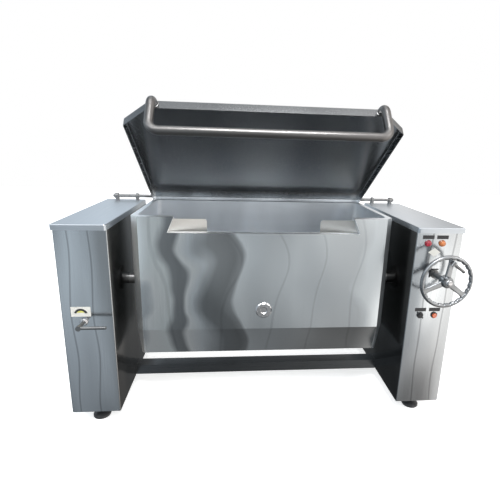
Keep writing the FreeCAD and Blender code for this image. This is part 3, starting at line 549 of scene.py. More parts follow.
def polished(made, rough, tone, stretch, patch, wave, dull=None):
    """Finish a polished sheet: fine upright brushing, and a sheet that isn't quite flat."""
    made.link(tone, made.shader.inputs["Base Color"])
    lines = made.noise((40, 40, 0.6), 9.0, 3.0)
    gloss = made.spread(lines, rough * 0.8, rough * 1.25)
    if dull:
        edges = made.tree.nodes.new("ShaderNodeMath")
        edges.operation = "MULTIPLY_ADD"
        made.link(made.beyond(dull), edges.inputs[0])
        edges.inputs[1].default_value = 0.3
        made.link(gloss, edges.inputs[2])
        gloss = edges.outputs["Value"]
    made.link(gloss, made.shader.inputs["Roughness"])
    flat = made.bump(made.noise(stretch, patch, 0.3, 0.3), wave, 0.03)
    made.link(made.bump(lines, 0.02, 0.001, flat), made.shader.inputs["Normal"])
    return made.material


def column_steel(colour, inner):
    """Polished sheet with painted reflections in its colour, upright light and dark patches and thin wavy upright
    lines, and painted shade that darkens the columns' inner sheets.
    """
    made = Finish("column_steel", 0.17, 1.0)
    stretch = (1, 1, 0.13)
    # Painted reflections: upright light and dark patches, as a polished upright sheet would mirror its surroundings.
    patches = made.ramp(made.noise(stretch, 4.0, 0.5, 0.5), [
        (0.32, shade(colour, 0.80)), (0.45, shade(colour, 0.98)), (0.56, shade(colour, 1.04)),
        (0.68, shade(colour, 0.86))])
    # Painted reflections: thin wavy upright dark lines.
    lines = made.ramp(made.waves((1, 1, 0.8), 3.75, 3.0, 0.8), [
        (0.0, (0.66, 0.66, 0.66)), (0.006, (0.70, 0.70, 0.70)), (0.026, (1.0, 1.0, 1.0)), (1.0, (0.97, 0.97, 0.97))])
    # Painted shade: on the columns' inner sheets beside the pan, the tone falls to 0.38 of the colour.
    side = made.ramp(made.beyond(inner + 0.0015), [(0.4, (0.38, 0.36, 0.34)), (0.6, (1.0, 1.0, 1.0))])
    tone = made.times(made.times(patches, lines), side)
    return polished(made, 0.17, tone, (1, 1, 0.28), 3.7, 0.6)


def pan_steel(colour, half):
    """Polished sheet with painted reflections in its colour: broad upright swirls of dark pools with pale rims, and
    faint thin lines.
    """
    made = Finish("pan_steel", 0.17, 1.0)
    # Painted reflections and painted light: a ramp across the pan's width, swayed by a noise, lays dark pools and
    # pale rims, with a pale band near the left.
    sway = made.noise((1, 1, 1.4), 2.8, 0.6, 0.5)
    painted_reflection_pools = made.ramp(made.across(half, sway, 0.24), [
        (0.00, shade(colour, 1.25)), (0.03, shade(colour, 1.15)), (0.05, shade(colour, 1.75)),
        (0.12, shade(colour, 1.70)), (0.15, shade(colour, 0.66)), (0.19, shade(colour, 0.58)),
        (0.21, shade(colour, 1.75)), (0.245, shade(colour, 1.40)), (0.265, shade(colour, 1.00)),
        (0.30, shade(colour, 0.55)), (0.36, shade(colour, 0.46)), (0.39, shade(colour, 0.60)),
        (0.405, shade(colour, 1.25)), (0.45, shade(colour, 1.16)), (0.62, shade(colour, 1.14)),
        (0.78, shade(colour, 0.92)), (0.87, shade(colour, 0.88)), (0.92, shade(colour, 1.10)),
        (0.95, shade(colour, 1.10)), (1.0, shade(colour, 1.0))])
    # Painted reflections: faint thin wavy lines over the pools.
    lines = made.ramp(made.waves((1, 1, 1.5), 1.5, 6.5, 0.9), [
        (0.0, (0.88, 0.88, 0.88)), (0.002, (0.89, 0.89, 0.89)), (0.012, (1.0, 1.0, 1.0)), (1.0, (0.99, 0.99, 0.99))])
    return polished(made, 0.17, made.times(painted_reflection_pools, lines), (1, 1, 0.38), 3.2, 0.6, half - 0.0295)


def cast_finish(name, colour, rough, metal, grain=60.0, depth=0.15):
    """Cast or moulded surface with a fine grain and a little wear in its tone."""
    made = Finish(name, rough, metal)
    wear = made.noise((1, 1, 1), 14.0, 3.0)
    made.link(made.ramp(wear, [(0.3, shade(colour, 0.86)), (0.7, shade(colour, 1.1))]),
              made.shader.inputs["Base Color"])
    fine = made.noise((1, 1, 1), grain, 2.0)
    made.link(made.spread(fine, rough * 0.85, rough * 1.15), made.shader.inputs["Roughness"])
    made.link(made.bump(fine, depth, 0.0006), made.shader.inputs["Normal"])
    return made.material


def lens_finish(name, colour):
    """Coloured signal lens: glossy plastic with a faint inner unevenness."""
    made = Finish(name, 0.12, 0.0)
    inner = made.noise((1, 1, 1), 90.0, 1.0)
    made.link(made.ramp(inner, [(0.3, shade(colour, 0.75)), (0.7, shade(colour, 1.25))]),
              made.shader.inputs["Base Color"])
    made.shader.inputs["Coat Weight"].default_value = 0.6
    return made.material


FINISHES = {}


def make_finishes(colours):
    """Every finish of the object, under the name of its material slot."""
    level = (0.6, 40, 40)
    inner = -high("column_left")[0]
    FINISHES.update({
        "column_steel": column_steel(colours.column, inner),
        # Painted shade: the beam under the pan takes the column's colour darkened to a fifth.
        "beam_steel": satin_steel("beam_steel", shade(colours.column, 0.20), 0.30, level, 2.0, 0.10),
        "cover_steel": satin_steel("cover_steel", colours.cover, 0.34, (30, 0.6, 30), 2.0, 0.06),
        "pan_steel": pan_steel(colours.pan, high("pan_shell")[0]),
        "tub_steel": satin_steel("tub_steel", colours.tub, 0.42, (30, 30, 0.6), 4.0, 0.14, (1, 0.4, 0.4),
                                 (0.62, 0.76, 0.76)),
        # Painted reflection: the guides' warm tint stands for the warmer surroundings they mirror.
        "guide_steel": satin_steel("guide_steel", colours.guide, 0.40, level, 2.4, 0.05),
        "lid_steel": lid_sheet(colours.lid),
        "grip_steel": satin_steel("grip_steel", colours.grip, 0.34, level, 2.0, 0.02),
        "rod_steel": cast_finish("rod_steel", (0.24, 0.24, 0.24), 0.35, 1.0),
        "cap_chrome": cast_finish("cap_chrome", (0.58, 0.58, 0.59), 0.14, 1.0, 30.0, 0.05),
        "wheel_metal": cast_finish("wheel_metal", tuple(colours.wheel), 0.30, 1.0),
        "iron": cast_finish("iron", (0.16, 0.16, 0.165), 0.5, 0.8),
        "foot_black": cast_finish("foot_black", (0.025, 0.025, 0.027), 0.45, 0.0),
        "black_plastic": cast_finish("black_plastic", (0.018, 0.018, 0.02), 0.38, 0.0),
        "white_plate": cast_finish("white_plate", (0.52, 0.515, 0.48), 0.45, 0.0, 40.0, 0.05),
        "red_lens": lens_finish("red_lens", tuple(colours.red)),
        "amber_lens": lens_finish("amber_lens", tuple(colours.amber)),
        "red_ring": lens_finish("red_ring", shade(colours.red, 0.55)),
        "amber_ring": lens_finish("amber_ring", shade(colours.amber, 0.55)),
        "orange_cap": lens_finish("orange_cap", (0.45, 0.09, 0.03)),
        "dial_green": cast_finish("dial_green", (0.48, 0.46, 0.10), 0.45, 0.0),
        "brass": cast_finish("brass", (0.62, 0.47, 0.22), 0.32, 1.0),
    })


# Operators

class BRATT_OT_finishes(bpy.types.Operator):
    """Mix the finishes and give every piece of the frame its own"""
    bl_idname = "bratt.finishes"
    bl_label = "Finishes"

    def execute(self, context):
        make_finishes(context.scene.bratt_colours)
        for name, node in NODES.items():
            wanted = slot_of(name)
            node.data.materials.clear()
            node.data.materials.append(FINISHES[wanted])
        return {"FINISHED"}


SLOT_WORDS = (
    ("column_", "column_steel"), ("cover_", "cover_steel"), ("cross_beam", "beam_steel"),
    ("foot_", "foot_black"), ("hinge_eye", "rod_steel"), ("lid_rod", "rod_steel"),
    ("lid_block", "lid_steel"), ("lid_panel", "lid_steel"), ("lid_grip", "grip_steel"),
    ("pan_shell", "pan_steel"), ("pan_tub", "tub_steel"), ("pour_guide", "guide_steel"),
    ("pan_gland", "black_plastic"), ("pan_pivot", "rod_steel"), ("pivot_bearing", "iron"),
    ("front_cap", "cap_chrome"), ("gearbox", "iron"), ("shaft_bush", "rod_steel"),
    ("handwheel", "wheel_metal"), ("wheel_shaft", "rod_steel"), ("wheel_cap", "cap_chrome"),
    ("crank_lug", "wheel_metal"), ("crank_pin", "rod_steel"), ("crank_handle", "rod_steel"),
    ("lamp_ring_red", "red_ring"), ("lamp_ring_amber", "amber_ring"), ("lamp_lens_red", "red_lens"), ("lamp_lens_amber", "amber_lens"),
    ("blank_strip", "black_plastic"), ("blank_diamond", "white_plate"),
    ("selector", "black_plastic"), ("button_ring", "black_plastic"), ("push_button", "orange_cap"),
    ("lever_boss", "cap_chrome"), ("valve_lever", "rod_steel"), ("scale_plate", "white_plate"),
    ("scale_arc", "black_plastic"), ("gas_inlet", "brass"),
)


def slot_of(name):
    """The finish of a piece of the frame, by the words its name starts with."""
    for word, wanted in SLOT_WORDS:
        if name.startswith(word):
            return wanted
    raise KeyError(f"no finish is named for {name}")


class BRATT_OT_feet(bpy.types.Operator):
    """Turn the four levelling feet: a rounded pad, a threaded stem and its nut"""
    bl_idname = "bratt.feet"
    bl_label = "Feet"

    def execute(self, context):
        for number in range(1, 5):
            node = f"foot_{number}"
            radius = size(node)[0] / 2
            top = high(node)[2]
            stem = np.linspace(0.024, top - 0.015, 40)
            ridge = 0.0105 + 0.0007 * np.cos((stem - stem[0]) * 2 * np.pi / 0.002)
            edge = np.linspace(0, np.pi / 2, 6)
            profile = [(radius - 0.004 + 0.004 * math.sin(a), 0.004 - 0.004 * math.cos(a)) for a in edge]
            profile += [(radius, 0.009), (radius - 0.002, 0.0125), (0.016, 0.021), (0.0125, 0.0235)]
            profile += list(zip(ridge, stem))
            profile += [(0.0150, top - 0.015), (0.0155, top - 0.014), (0.0155, top)]
            place = (middle(node)[0], middle(node)[1], 0)
            foot = grid_piece(f"levelling_foot_{number}", turned(profile, 40) + place, "frame",
                              FINISHES["foot_black"], caps=("first", "last"))
            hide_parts(node)
        return {"FINISHED"}


def plan_corners(least, most):
    """The corners of a rectangle in plan, anticlockwise."""
    return [(least[0], least[1]), (most[0], least[1]), (most[0], most[1]), (least[0], most[1])]


class BRATT_OT_columns(bpy.types.Operator):
    """Fold the two columns' sheets, with a small radius on every fold"""
    bl_idname = "bratt.columns"
    bl_label = "Columns"

    def execute(self, context):
        fold = context.scene.bratt_sizes.column_fold
        for side in ("left", "right"):
            node = f"column_{side}"
            least, most = low(node), high(node)
            bottom = [(inset, least[2] + fold - rise) for inset, rise in quarter(fold)]
            profile = [(fold, most[2]), (0, most[2]), *bottom]
            rings = pressed(plan_corners(least, most), fold + 0.0005, profile)[::-1]
            skin = grid_piece(f"column_skin_{side}", rings, "frame", FINISHES["column_steel"],
                              caps=("first", "last"))
            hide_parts(node)
        return {"FINISHED"}


class BRATT_OT_covers(bpy.types.Operator):
    """Press the two covers with a rounded rim"""
    bl_idname = "bratt.covers"
    bl_label = "Covers"

    def execute(self, context):
        sizes = context.scene.bratt_sizes
        edge, sheet = sizes.cover_edge, sizes.sheet
        for side in ("left", "right"):
            node = f"cover_{side}"
            least, most = low(node), high(node)
            top = [(inset, most[2] - edge + rise) for inset, rise in quarter(edge)]
            under = [(sheet, most[2] - edge), (sheet, least[2] + 0.0002)]
            profile = [*under, (0.0002, least[2]), *top]
            rings = pressed(plan_corners(least, most), sizes.cover_corner, profile)
            cap = grid_piece(f"cover_cap_{side}", rings, "frame", FINISHES["cover_steel"],
                             caps=("first", "last"))
            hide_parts(node)
        return {"FINISHED"}


def on_lid(points):
    """Points drawn on the closed lid about its hinge, turned up to where the lid rests.

    The hinge is the line through the lid's joint; a turn of the opening angle about +X
    carries the far edge up.
    """
    points = np.asarray(points, dtype=float)
    turn = LID_OPEN
    y = points[..., 1] * math.cos(turn) + points[..., 2] * math.sin(turn)
    z = points[..., 2] * math.cos(turn) - points[..., 1] * math.sin(turn)
    return np.stack([points[..., 0], y + LID_HINGE[1], z + LID_HINGE[2]], axis=-1)


class BRATT_OT_lid(bpy.types.Operator):
    """Press the lid: a six-sided tray with a skirt and rounded folds"""
    bl_idname = "bratt.lid"
    bl_label = "Lid"

    def execute(self, context):
        sizes = context.scene.bratt_sizes
        lid = context.scene.bratt_lid
        fold, sheet = sizes.lid_fold, sizes.sheet
        inner = fold - sheet
        half, length = lid.half, lid.length
        corners = [(-half, -length + lid.chamfer_y), (-half + lid.chamfer_x, -length),
                   (half - lid.chamfer_x, -length), (half, -length + lid.chamfer_y),
                   (half, -lid.back), (-half, -lid.back)]
        top = -lid.drop
        hem = top - lid.skirt
        outside = [(inset, top - fold + rise) for inset, rise in quarter(fold)]
        inside = [(sheet + inset, top - fold + rise) for inset, rise in quarter(inner)][::-1]
        profile = [*inside, (sheet, hem + 0.0004), (sheet - 0.0004, hem), (0.0004, hem),
                   (0, hem + 0.0004), *outside]
        rings = on_lid(pressed(corners, sizes.lid_corner, profile))
        tray = grid_piece("lid_tray", rings, "lid", FINISHES["lid_steel"], caps=("first", "last"))
        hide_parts("lid_panel")
        return {"FINISHED"}


class BRATT_OT_grip(bpy.types.Operator):
    """Bend the lid's grip and lay a weld round each of its ends"""
    bl_idname = "bratt.grip"
    bl_label = "Lid grip"

    def execute(self, context):
        sizes = context.scene.bratt_sizes
        lid = context.scene.bratt_lid
        half, root, far = lid.grip_half, -lid.length, -(lid.length + lid.grip_reach)
        top = -(lid.drop + lid.skirt / 2)
        low_line = top - lid.grip_drop
        corners = [(-half, root - 0.0005, top), (-half, far, top), (-half, far, low_line),
                   (half, far, low_line), (half, far, top), (half, root - 0.0005, top)]
        points, ways = space_run(corners, sizes.grip_bend)
        rings = on_lid(carried(points, ways, lid.grip_radius))
        grip = grid_piece("grip_tube", rings, "lid", FINISHES["grip_steel"], caps=("first", "last"))
        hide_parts("lid_grip")
        angle = np.linspace(0, 2 * np.pi, 40, endpoint=False)
        for side, name in ((-1, "left"), (1, "right")):
            line = np.column_stack([side * half + np.cos(angle) * (lid.grip_radius + 0.0006),
                                    np.full(40, root - 0.0012),
                                    top + np.sin(angle) * (lid.grip_radius + 0.0006)])
            bead = on_lid(ring_tube(line, (side * half, root - 0.0012, top), 0.0024))
            weld = grid_piece(f"grip_weld_{name}", bead, "lid", FINISHES["rod_steel"], wrap_rows=True)
        return {"FINISHED"}


def space_run(corners, radius):
    """A run through corners in space, with its bends rounded; see bent_run."""
    return bent_run(corners, radius, 14)


def carried(points, ways, radius, steps=28):
    """A round section carried along a run without twist.

    Each ring's first axis is the last ring's first axis with its part along the new direction
    taken away; the second is square to both.
    """
    across = np.empty_like(points)
    across[0] = np.cross(ways[0], (1.0, 0.3, 0.2))
    across[0] /= np.linalg.norm(across[0])
    for i in range(1, len(points)):
        turned_axis = across[i - 1] - ways[i] * np.dot(across[i - 1], ways[i])
        across[i] = turned_axis / np.linalg.norm(turned_axis)
    up = np.cross(ways, across)
    angle = np.linspace(0, 2 * np.pi, steps, endpoint=False)
    ring = np.cos(angle)[None, :, None] * across[:, None, :] + np.sin(angle)[None, :, None] * up[:, None, :]
    return points[:, None, :] + ring * radius


def ring_tube(line, centre, radius, steps=8):
    """A thin round bead along a closed ring: each section turns between outwards and the ring's axis."""
    centre = np.asarray(centre, dtype=float)
    out = line - centre
    out /= np.linalg.norm(out, axis=1, keepdims=True)
    axis = np.cross(out[0], np.roll(out, -1, axis=0)[0])
    axis /= np.linalg.norm(axis)
    angle = np.linspace(0, 2 * np.pi, steps, endpoint=False)
    section = np.cos(angle)[None, :, None] * out[:, None, :] + np.sin(angle)[None, :, None] * axis
    return line[:, None, :] + section * radius


class BRATT_OT_lip(bpy.types.Operator):
    """Fold the pouring lip that closes the gap between shell and tub round the notch"""
    bl_idname = "bratt.lip"
    bl_label = "Pouring lip"

    def execute(self, context):
        sizes, notch = context.scene.bratt_sizes, context.scene.bratt_notch
        front, top = low("pan_shell")[1], high("pan_shell")[2]
        under, foot, wide = top - notch.wall, top - notch.depth, notch.half + notch.flare
        corners = [(-notch.half, front, under), (-wide, front, foot), (wide, front, foot),
                   (notch.half, front, under)]
        points, ways = bent_run(corners, notch.bend, 10)
        section = rounded_outline(plan_corners((notch.skin, 0.0001), (notch.rim - notch.wall, sizes.sheet)),
                                  0.0005, 0)
        rings = self.folded(points, ways, section)
        lip = grid_piece("pouring_lip", rings, "pan", FINISHES["tub_steel"], caps=("first", "last"))
        turn_out(lip)
        return {"FINISHED"}

    def folded(self, points, ways, section):
        """Each section point goes back by its first number and away from the notch by its second."""
        away = np.column_stack([ways[:, 2], np.zeros(len(ways)), -ways[:, 0]])
        back = np.array([0.0, 1.0, 0.0])
        return points[:, None, :] + section[None, :, :1] * back + section[None, :, 1:] * away[:, None, :]


class BRATT_OT_wheel(bpy.types.Operator):
    """Cast the handwheel: waved rim, three spokes, hub and its cap"""
    bl_idname = "bratt.wheel"
    bl_label = "Handwheel"

    def execute(self, context):
        sizes = context.scene.bratt_sizes
        cap_low, cap_high = low("wheel_cap"), high("wheel_cap")
        outer = (high("handwheel")[0] - low("handwheel")[0]) / 2
        centre = middle("handwheel")
        thick = sizes.rim_thick
        hub_half = size("handwheel")[1] / 2
        metal = FINISHES["wheel_metal"]
        rim = self.rim(outer, thick, sizes)
        made = [grid_piece("wheel_rim", to_front(rim, centre), "wheel", metal, wrap_rows=True)]
        for number in range(3):
            turn = sizes.spoke_turn + number * 2 * math.pi / 3
            spoke = self.spoke(sizes.hub_radius * 0.7, outer - thick * 0.75, turn, sizes)
            made.append(grid_piece(f"wheel_spoke_{number + 1}", to_front(spoke, centre), "wheel", metal,
                                   caps=("first", "last")))
        radius = sizes.hub_radius
        bevel = [(radius - 0.003 + r, -hub_half + 0.003 - h) for r, h in
                 zip(0.003 * np.sin(np.linspace(0, np.pi / 2, 5)), 0.003 * np.cos(np.linspace(0, np.pi / 2, 5)))]
        hub = turned([*bevel, (radius - 0.001, hub_half - 0.008), (radius - 0.004, hub_half - 0.001),
                      (radius - 0.006, hub_half)])
        made.append(grid_piece("wheel_hub", to_front(hub, centre), "wheel", metal, caps=("first", "last")))
        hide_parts("handwheel")
        cap_radius = (cap_high[0] - cap_low[0]) / 2
        cap_thick = cap_high[1] - cap_low[1]
        dome = np.linspace(0, np.pi / 2, 10)
        profile = [(cap_radius, 0), (cap_radius, cap_thick * 0.35)]
        profile += [(cap_radius * math.cos(a) * 0.97, cap_thick * (0.4 + 0.6 * math.sin(a))) for a in dome[:-1]]
        cap = turned(profile)
        cap_place = (middle("wheel_cap")[0], cap_high[1], middle("wheel_cap")[2])
        button = grid_piece("wheel_cap_dome", to_front(cap, cap_place), "wheel", FINISHES["cap_chrome"],
                            caps=("first", "last"))
        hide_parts("wheel_cap")
        return {"FINISHED"}

    def rim(self, outer, thick, sizes):
        """Round section carried round the wheel.

        At each turn the section's inner side is pushed out by the finger grips' wave, which is the
        upper half of a cosine with one crest a grip, weighted by how far inside the point lies.
        """
        turn = np.linspace(0, 2 * np.pi, 24 * sizes.finger_grips, endpoint=False)[:, None]
        around = np.linspace(0, 2 * np.pi, 20, endpoint=False)[None, :]
        wave = np.sqrt(np.clip(np.cos(sizes.finger_grips * turn), 0, None)) * sizes.grip_depth
        inside = np.clip(-np.cos(around), 0, 1) ** 0.5
        centre = outer - thick / 2
        radius = centre + thick / 2 * np.cos(around) + wave * inside
        height = thick / 2 * np.sin(around) * np.ones_like(turn)
        return np.stack([radius * np.cos(turn), radius * np.sin(turn), height], axis=2)

    def spoke(self, start, end, turn, sizes):
        """Rounded bar from the hub to the rim.

        Its section is a superellipse with power four; its half width narrows evenly outwards
        and flares again at the rim, and its half thickness stays the same.
        """
        along = np.linspace(0, 1, 24)[:, None]
        around = np.linspace(0, 2 * np.pi, 28, endpoint=False)[None, :]
        half_width = sizes.spoke_width / 2 * (1 - 0.22 * along + 0.5 * along ** 12)
        across = half_width * np.sign(np.cos(around)) * np.abs(np.cos(around)) ** 0.5
        height = sizes.spoke_thick / 2 * np.sign(np.sin(around)) * np.abs(np.sin(around)) ** 0.5
        reach = start + (end - start) * along + np.zeros_like(around)
        x = reach * math.cos(turn) - across * math.sin(turn)
        y = reach * math.sin(turn) + across * math.cos(turn)
        return np.stack([x, y, height + np.zeros_like(reach)], axis=2)


class BRATT_OT_controls(bpy.types.Operator):
    """Shape the lamps' fluted lenses and the angle mark on the right column"""
    bl_idname = "bratt.controls"
    bl_label = "Controls"

    def execute(self, context):
        sizes = context.scene.bratt_sizes
        for colour in ("red", "amber"):
            node = f"lamp_lens_{colour}"
            least, most = low(node), high(node)
            radius, rise = (most[0] - least[0]) / 2, most[1] - least[1]
            place = (middle(node)[0], most[1], middle(node)[2])
            lens = self.lens(radius, rise, sizes.lens_flutes)
            piece = grid_piece(f"lamp_dome_{colour}", to_front(lens, place), "frame", FINISHES[f"{colour}_lens"],
                               caps=("first", "last"), smooth_angle=50)
            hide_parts(node)
        self.mark(FINISHES["black_plastic"])
        self.dial()
        return {"FINISHED"}

    def mark(self, material):
        """Small black angle on the right column beside the wheel's shaft: an L-shaped outline, given a thickness."""
        place = middle("shaft_bush")
        face = high("shaft_bush")[1]
        reach, width, thick = 0.038, 0.006, 0.0008
        corner = np.array([place[0] - 0.020, place[2] + 0.021])
        outline = corner + np.array([(0, -reach), (width, -reach), (width, -width), (reach, -width), (reach, 0), (0, 0)])
        back = np.column_stack([outline[:, 0], np.full(6, face), outline[:, 1]])
        front = back - (0, thick, 0)
        sides = [[i, (i + 1) % 6, 6 + (i + 1) % 6, 6 + i] for i in range(6)]
        faces = [[0, 2, 1], [0, 5, 2], [5, 4, 3], [5, 3, 2], [6, 7, 8], [6, 8, 11], [11, 9, 10], [11, 8, 9]]
        mark = add_mesh("angle_mark", np.vstack([back, front]), faces + sides, "frame", material)
        turn_out(mark)

    def dial(self):
        """Yellow-green half disc inside the scale's arc."""
        plate, arc = low("scale_plate"), middle("scale_arc")
        angle = np.linspace(math.radians(14), math.radians(166), 24)
        radius = size("scale_arc")[0] / 2 * 0.66
        foot = low("scale_arc")[2]
        rim = np.column_stack([arc[0] + radius * np.cos(angle), np.full(24, plate[1] - 0.0002),
                               foot + radius * np.sin(angle)])
        front = rim - (0, 0.0006, 0)
        count = len(rim)
        sides = [[i, (i + 1) % count, count + (i + 1) % count, count + i] for i in range(count)]
        faces = [list(range(count))[::-1], list(range(count, 2 * count))]
        dial = add_mesh("scale_dial", np.vstack([rim, front]), faces + sides, "frame", FINISHES["dial_green"])
        turn_out(dial)

    def lens(self, radius, rise, flutes):
        """Domed lens: its wall's radius swings by a fiftieth with a cosine for each flute, fading on the dome."""
        turn = np.linspace(0, 2 * np.pi, 168, endpoint=False)[None, :]
        wall = np.array([(1.0, 0.0), (1.0, 0.42)])
        angle = np.linspace(0, np.pi / 2, 9)[:-1]
        dome = np.column_stack([np.cos(angle) ** 0.8, 0.45 + 0.55 * np.sin(angle)])
        profile = np.vstack([wall, dome])
        fade = np.clip(1 - (profile[:, 1:] - 0.4) / 0.5, 0, 1)
        reach = radius * profile[:, :1] * (1 - 0.02 * fade * (1 - np.cos(flutes * turn)))
        height = rise * profile[:, 1:] + np.zeros_like(turn)
        return np.stack([reach * np.cos(turn), reach * np.sin(turn), height], axis=2)


class BRATT_OT_stage(bpy.types.Operator):
    """Lay the floor, hang the lights and stand the camera where the photograph was taken"""
    bl_idname = "bratt.stage"
    bl_label = "Stage"

    def execute(self, context):
        stage = context.scene.bratt_stage
        scene = context.scene
        floor = Finish("floor", 0.6, 0.0)
        cloud = floor.noise((1, 1, 1), 1.2, 2.0)
        pale = tuple(context.scene.bratt_colours.floor)
        floor.link(floor.ramp(cloud, [(0.3, shade(pale, 0.985)), (0.7, pale)]), floor.shader.inputs["Base Color"])
        floor.shader.inputs["Emission Color"].default_value = (*pale, 1)
        floor.shader.inputs["Emission Strength"].default_value = stage.floor_glow
        mesh = bpy.data.meshes.new("floor")
        mesh.from_pydata([(-8, -8, 0), (8, -8, 0), (8, 8, 0), (-8, 8, 0)], [], [(0, 1, 2, 3)])
        mesh.materials.append(floor.material)
        ground = bpy.data.objects.new("floor", mesh)
        scene.collection.objects.link(ground)
        ground.visible_glossy = False
        for name, place, aim, width, height, power in (
                ("key_light", (-2.6, -2.6, 3.4), (0, 0, 0.7), 2.2, 2.2, 45),
                ("fill_light", (3.2, -2.2, 2.4), (0, 0, 0.6), 1.6, 2.4, 22),
                ("pan_light", (0.1, -1.6, 3.2), (0, 0.1, 0.6), 1.2, 0.8, 70)):
            light = bpy.data.lights.new(name, "AREA")
            light.shape = "RECTANGLE"
            light.size = width
            light.size_y = height
            light.energy = power
            lamp = bpy.data.objects.new(name, light)
            away = np.array(place, dtype=float) - np.array(aim, dtype=float)
            away /= np.linalg.norm(away)
            right = np.cross((0, 0, 1), away)
            right = right / np.linalg.norm(right) if np.linalg.norm(right) > 1e-6 else np.array((1.0, 0, 0))
            up = np.cross(away, right)
            lamp.matrix_world = matrix(right, up, away, place)
            scene.collection.objects.link(lamp)
        daylight = bpy.data.lights.new("daylight", "SUN")
        daylight.energy = 0.8
        daylight.angle = math.radians(60)
        sun = bpy.data.objects.new("daylight", daylight)
        sun.matrix_world = matrix((1, 0, 0), (0, 1, 0), (0, 0, 1), (0, 0, 3))
        scene.collection.objects.link(sun)
        scene.view_settings.view_transform = "Standard"
        self.sky(scene)
        self.camera(scene, stage)
        return {"FINISHED"}

    def sky(self, scene):
        """A pale sky for the camera, and for the steel a studio: dark below, white above, with upright
        lighter and darker walls, as soft noise over the direction stretched upwards."""
        world = bpy.data.worlds.new("studio")
        scene.world = world
        world.use_nodes = True
        tree = world.node_tree
        room = tree.nodes["Background"]
        place = tree.nodes.new("ShaderNodeTexCoord")
        parts = tree.nodes.new("ShaderNodeSeparateXYZ")
        spread = tree.nodes.new("ShaderNodeMapRange")
        spread.inputs["From Min"].default_value = -1
        tree.links.new(place.outputs["Generated"], parts.inputs["Vector"])
        tree.links.new(parts.outputs["Z"], spread.inputs["Value"])
        rise = self.ramp(tree, spread.outputs["Result"], [
            (0.10, (0.19, 0.19, 0.19)), (0.22, (0.33, 0.335, 0.34)), (0.33, (0.54, 0.555, 0.56)),
            (0.48, (0.62, 0.635, 0.645)), (0.60, (0.56, 0.575, 0.59)), (0.72, (0.78, 0.80, 0.82)),
            (0.92, (0.42, 0.43, 0.44))])
        stretch = tree.nodes.new("ShaderNodeMapping")
        stretch.inputs["Scale"].default_value = (1.0, 1.0, 0.35)
        walls = tree.nodes.new("ShaderNodeTexNoise")
        walls.inputs["Scale"].default_value = 2.6
        walls.inputs["Detail"].default_value = 1.0
        tree.links.new(place.outputs["Generated"], stretch.inputs["Vector"])
        tree.links.new(stretch.outputs["Vector"], walls.inputs["Vector"])
        tone = self.ramp(tree, walls.outputs["Fac"], [
            (0.36, (0.35, 0.35, 0.35)), (0.45, (1.0, 1.0, 1.0)), (0.52, (0.62, 0.64, 0.66)),
            (0.60, (1.5, 1.5, 1.5))])
        mix = tree.nodes.new("ShaderNodeMix")
        mix.data_type = "RGBA"
        mix.blend_type = "MULTIPLY"
        mix.inputs["Factor"].default_value = 1
        tint = self.ramp(tree, self.span(tree, parts.outputs["X"], -1, 1, 0, 1), [
            (0.32, (0.92, 1.0, 1.07)), (0.50, (0.97, 1.0, 1.02)), (0.74, (1.07, 1.0, 0.94))])
        warm = tree.nodes.new("ShaderNodeMix")
        warm.data_type = "RGBA"
        warm.blend_type = "MULTIPLY"
        warm.inputs["Factor"].default_value = 1
        tree.links.new(rise, warm.inputs["A"])
        tree.links.new(tint, warm.inputs["B"])
        tree.links.new(warm.outputs["Result"], mix.inputs["A"])
        tree.links.new(tone, mix.inputs["B"])
        side = self.span(tree, parts.outputs["X"], -1, 1, 0.48, 1.95)
        left = self.span(tree, parts.outputs["X"], -0.5, -0.9, 0, 0.9)
        side = self.sum_up(tree, "ADD", side, left)
        near = self.span(tree, parts.outputs["X"], -0.05, -0.19, 0, 0.7)
        far = self.span(tree, parts.outputs["X"], -0.25, -0.34, 0, -0.7)
        side = self.sum_up(tree, "ADD", side, self.sum_up(tree, "ADD", near, far))
        right = self.span(tree, parts.outputs["X"], 0.2, 0.55, 0, 1.2)
        ground = self.span(tree, parts.outputs["Z"], -0.05, -0.3, 0, 1)
        light = self.sum_up(tree, "MULTIPLY", right, ground)
        light = self.sum_up(tree, "ADD", light, 1)
        behind = self.span(tree, parts.outputs["Y"], -0.1, 0.5, 0, 1)
        deep = self.span(tree, parts.outputs["Z"], -0.1, -0.4, -0.18, -0.72)
        behind = self.sum_up(tree, "ADD", self.sum_up(tree, "MULTIPLY", behind, deep), 1)
        light = self.sum_up(tree, "MULTIPLY", light, behind)
        corner = self.sum_up(tree, "MULTIPLY", parts.outputs["X"], parts.outputs["Y"])
        corner = self.span(tree, corner, 0.36, 0.46, 1, 0.55)
        light = self.sum_up(tree, "MULTIPLY", light, corner)
        tree.links.new(self.sum_up(tree, "MULTIPLY", side, light), room.inputs["Strength"])
        tree.links.new(mix.outputs["Result"], room.inputs["Color"])
        pale = tree.nodes.new("ShaderNodeBackground")
        pale.inputs["Color"].default_value = (1, 1, 1, 1)
        seen = tree.nodes.new("ShaderNodeLightPath")
        choose = tree.nodes.new("ShaderNodeMixShader")
        tree.links.new(seen.outputs["Is Camera Ray"], choose.inputs["Fac"])
        tree.links.new(room.outputs["Background"], choose.inputs[1])
        tree.links.new(pale.outputs["Background"], choose.inputs[2])
        tree.links.new(choose.outputs["Shader"], tree.nodes["World Output"].inputs["Surface"])

    def span(self, tree, value, first, last, least, most):
        """A value that goes from least to most while its source goes from first to last."""
        span = tree.nodes.new("ShaderNodeMapRange")
        for entry, number in zip(("From Min", "From Max", "To Min", "To Max"), (first, last, least, most)):
            span.inputs[entry].default_value = number
        tree.links.new(value, span.inputs["Value"])
        return span.outputs["Result"]

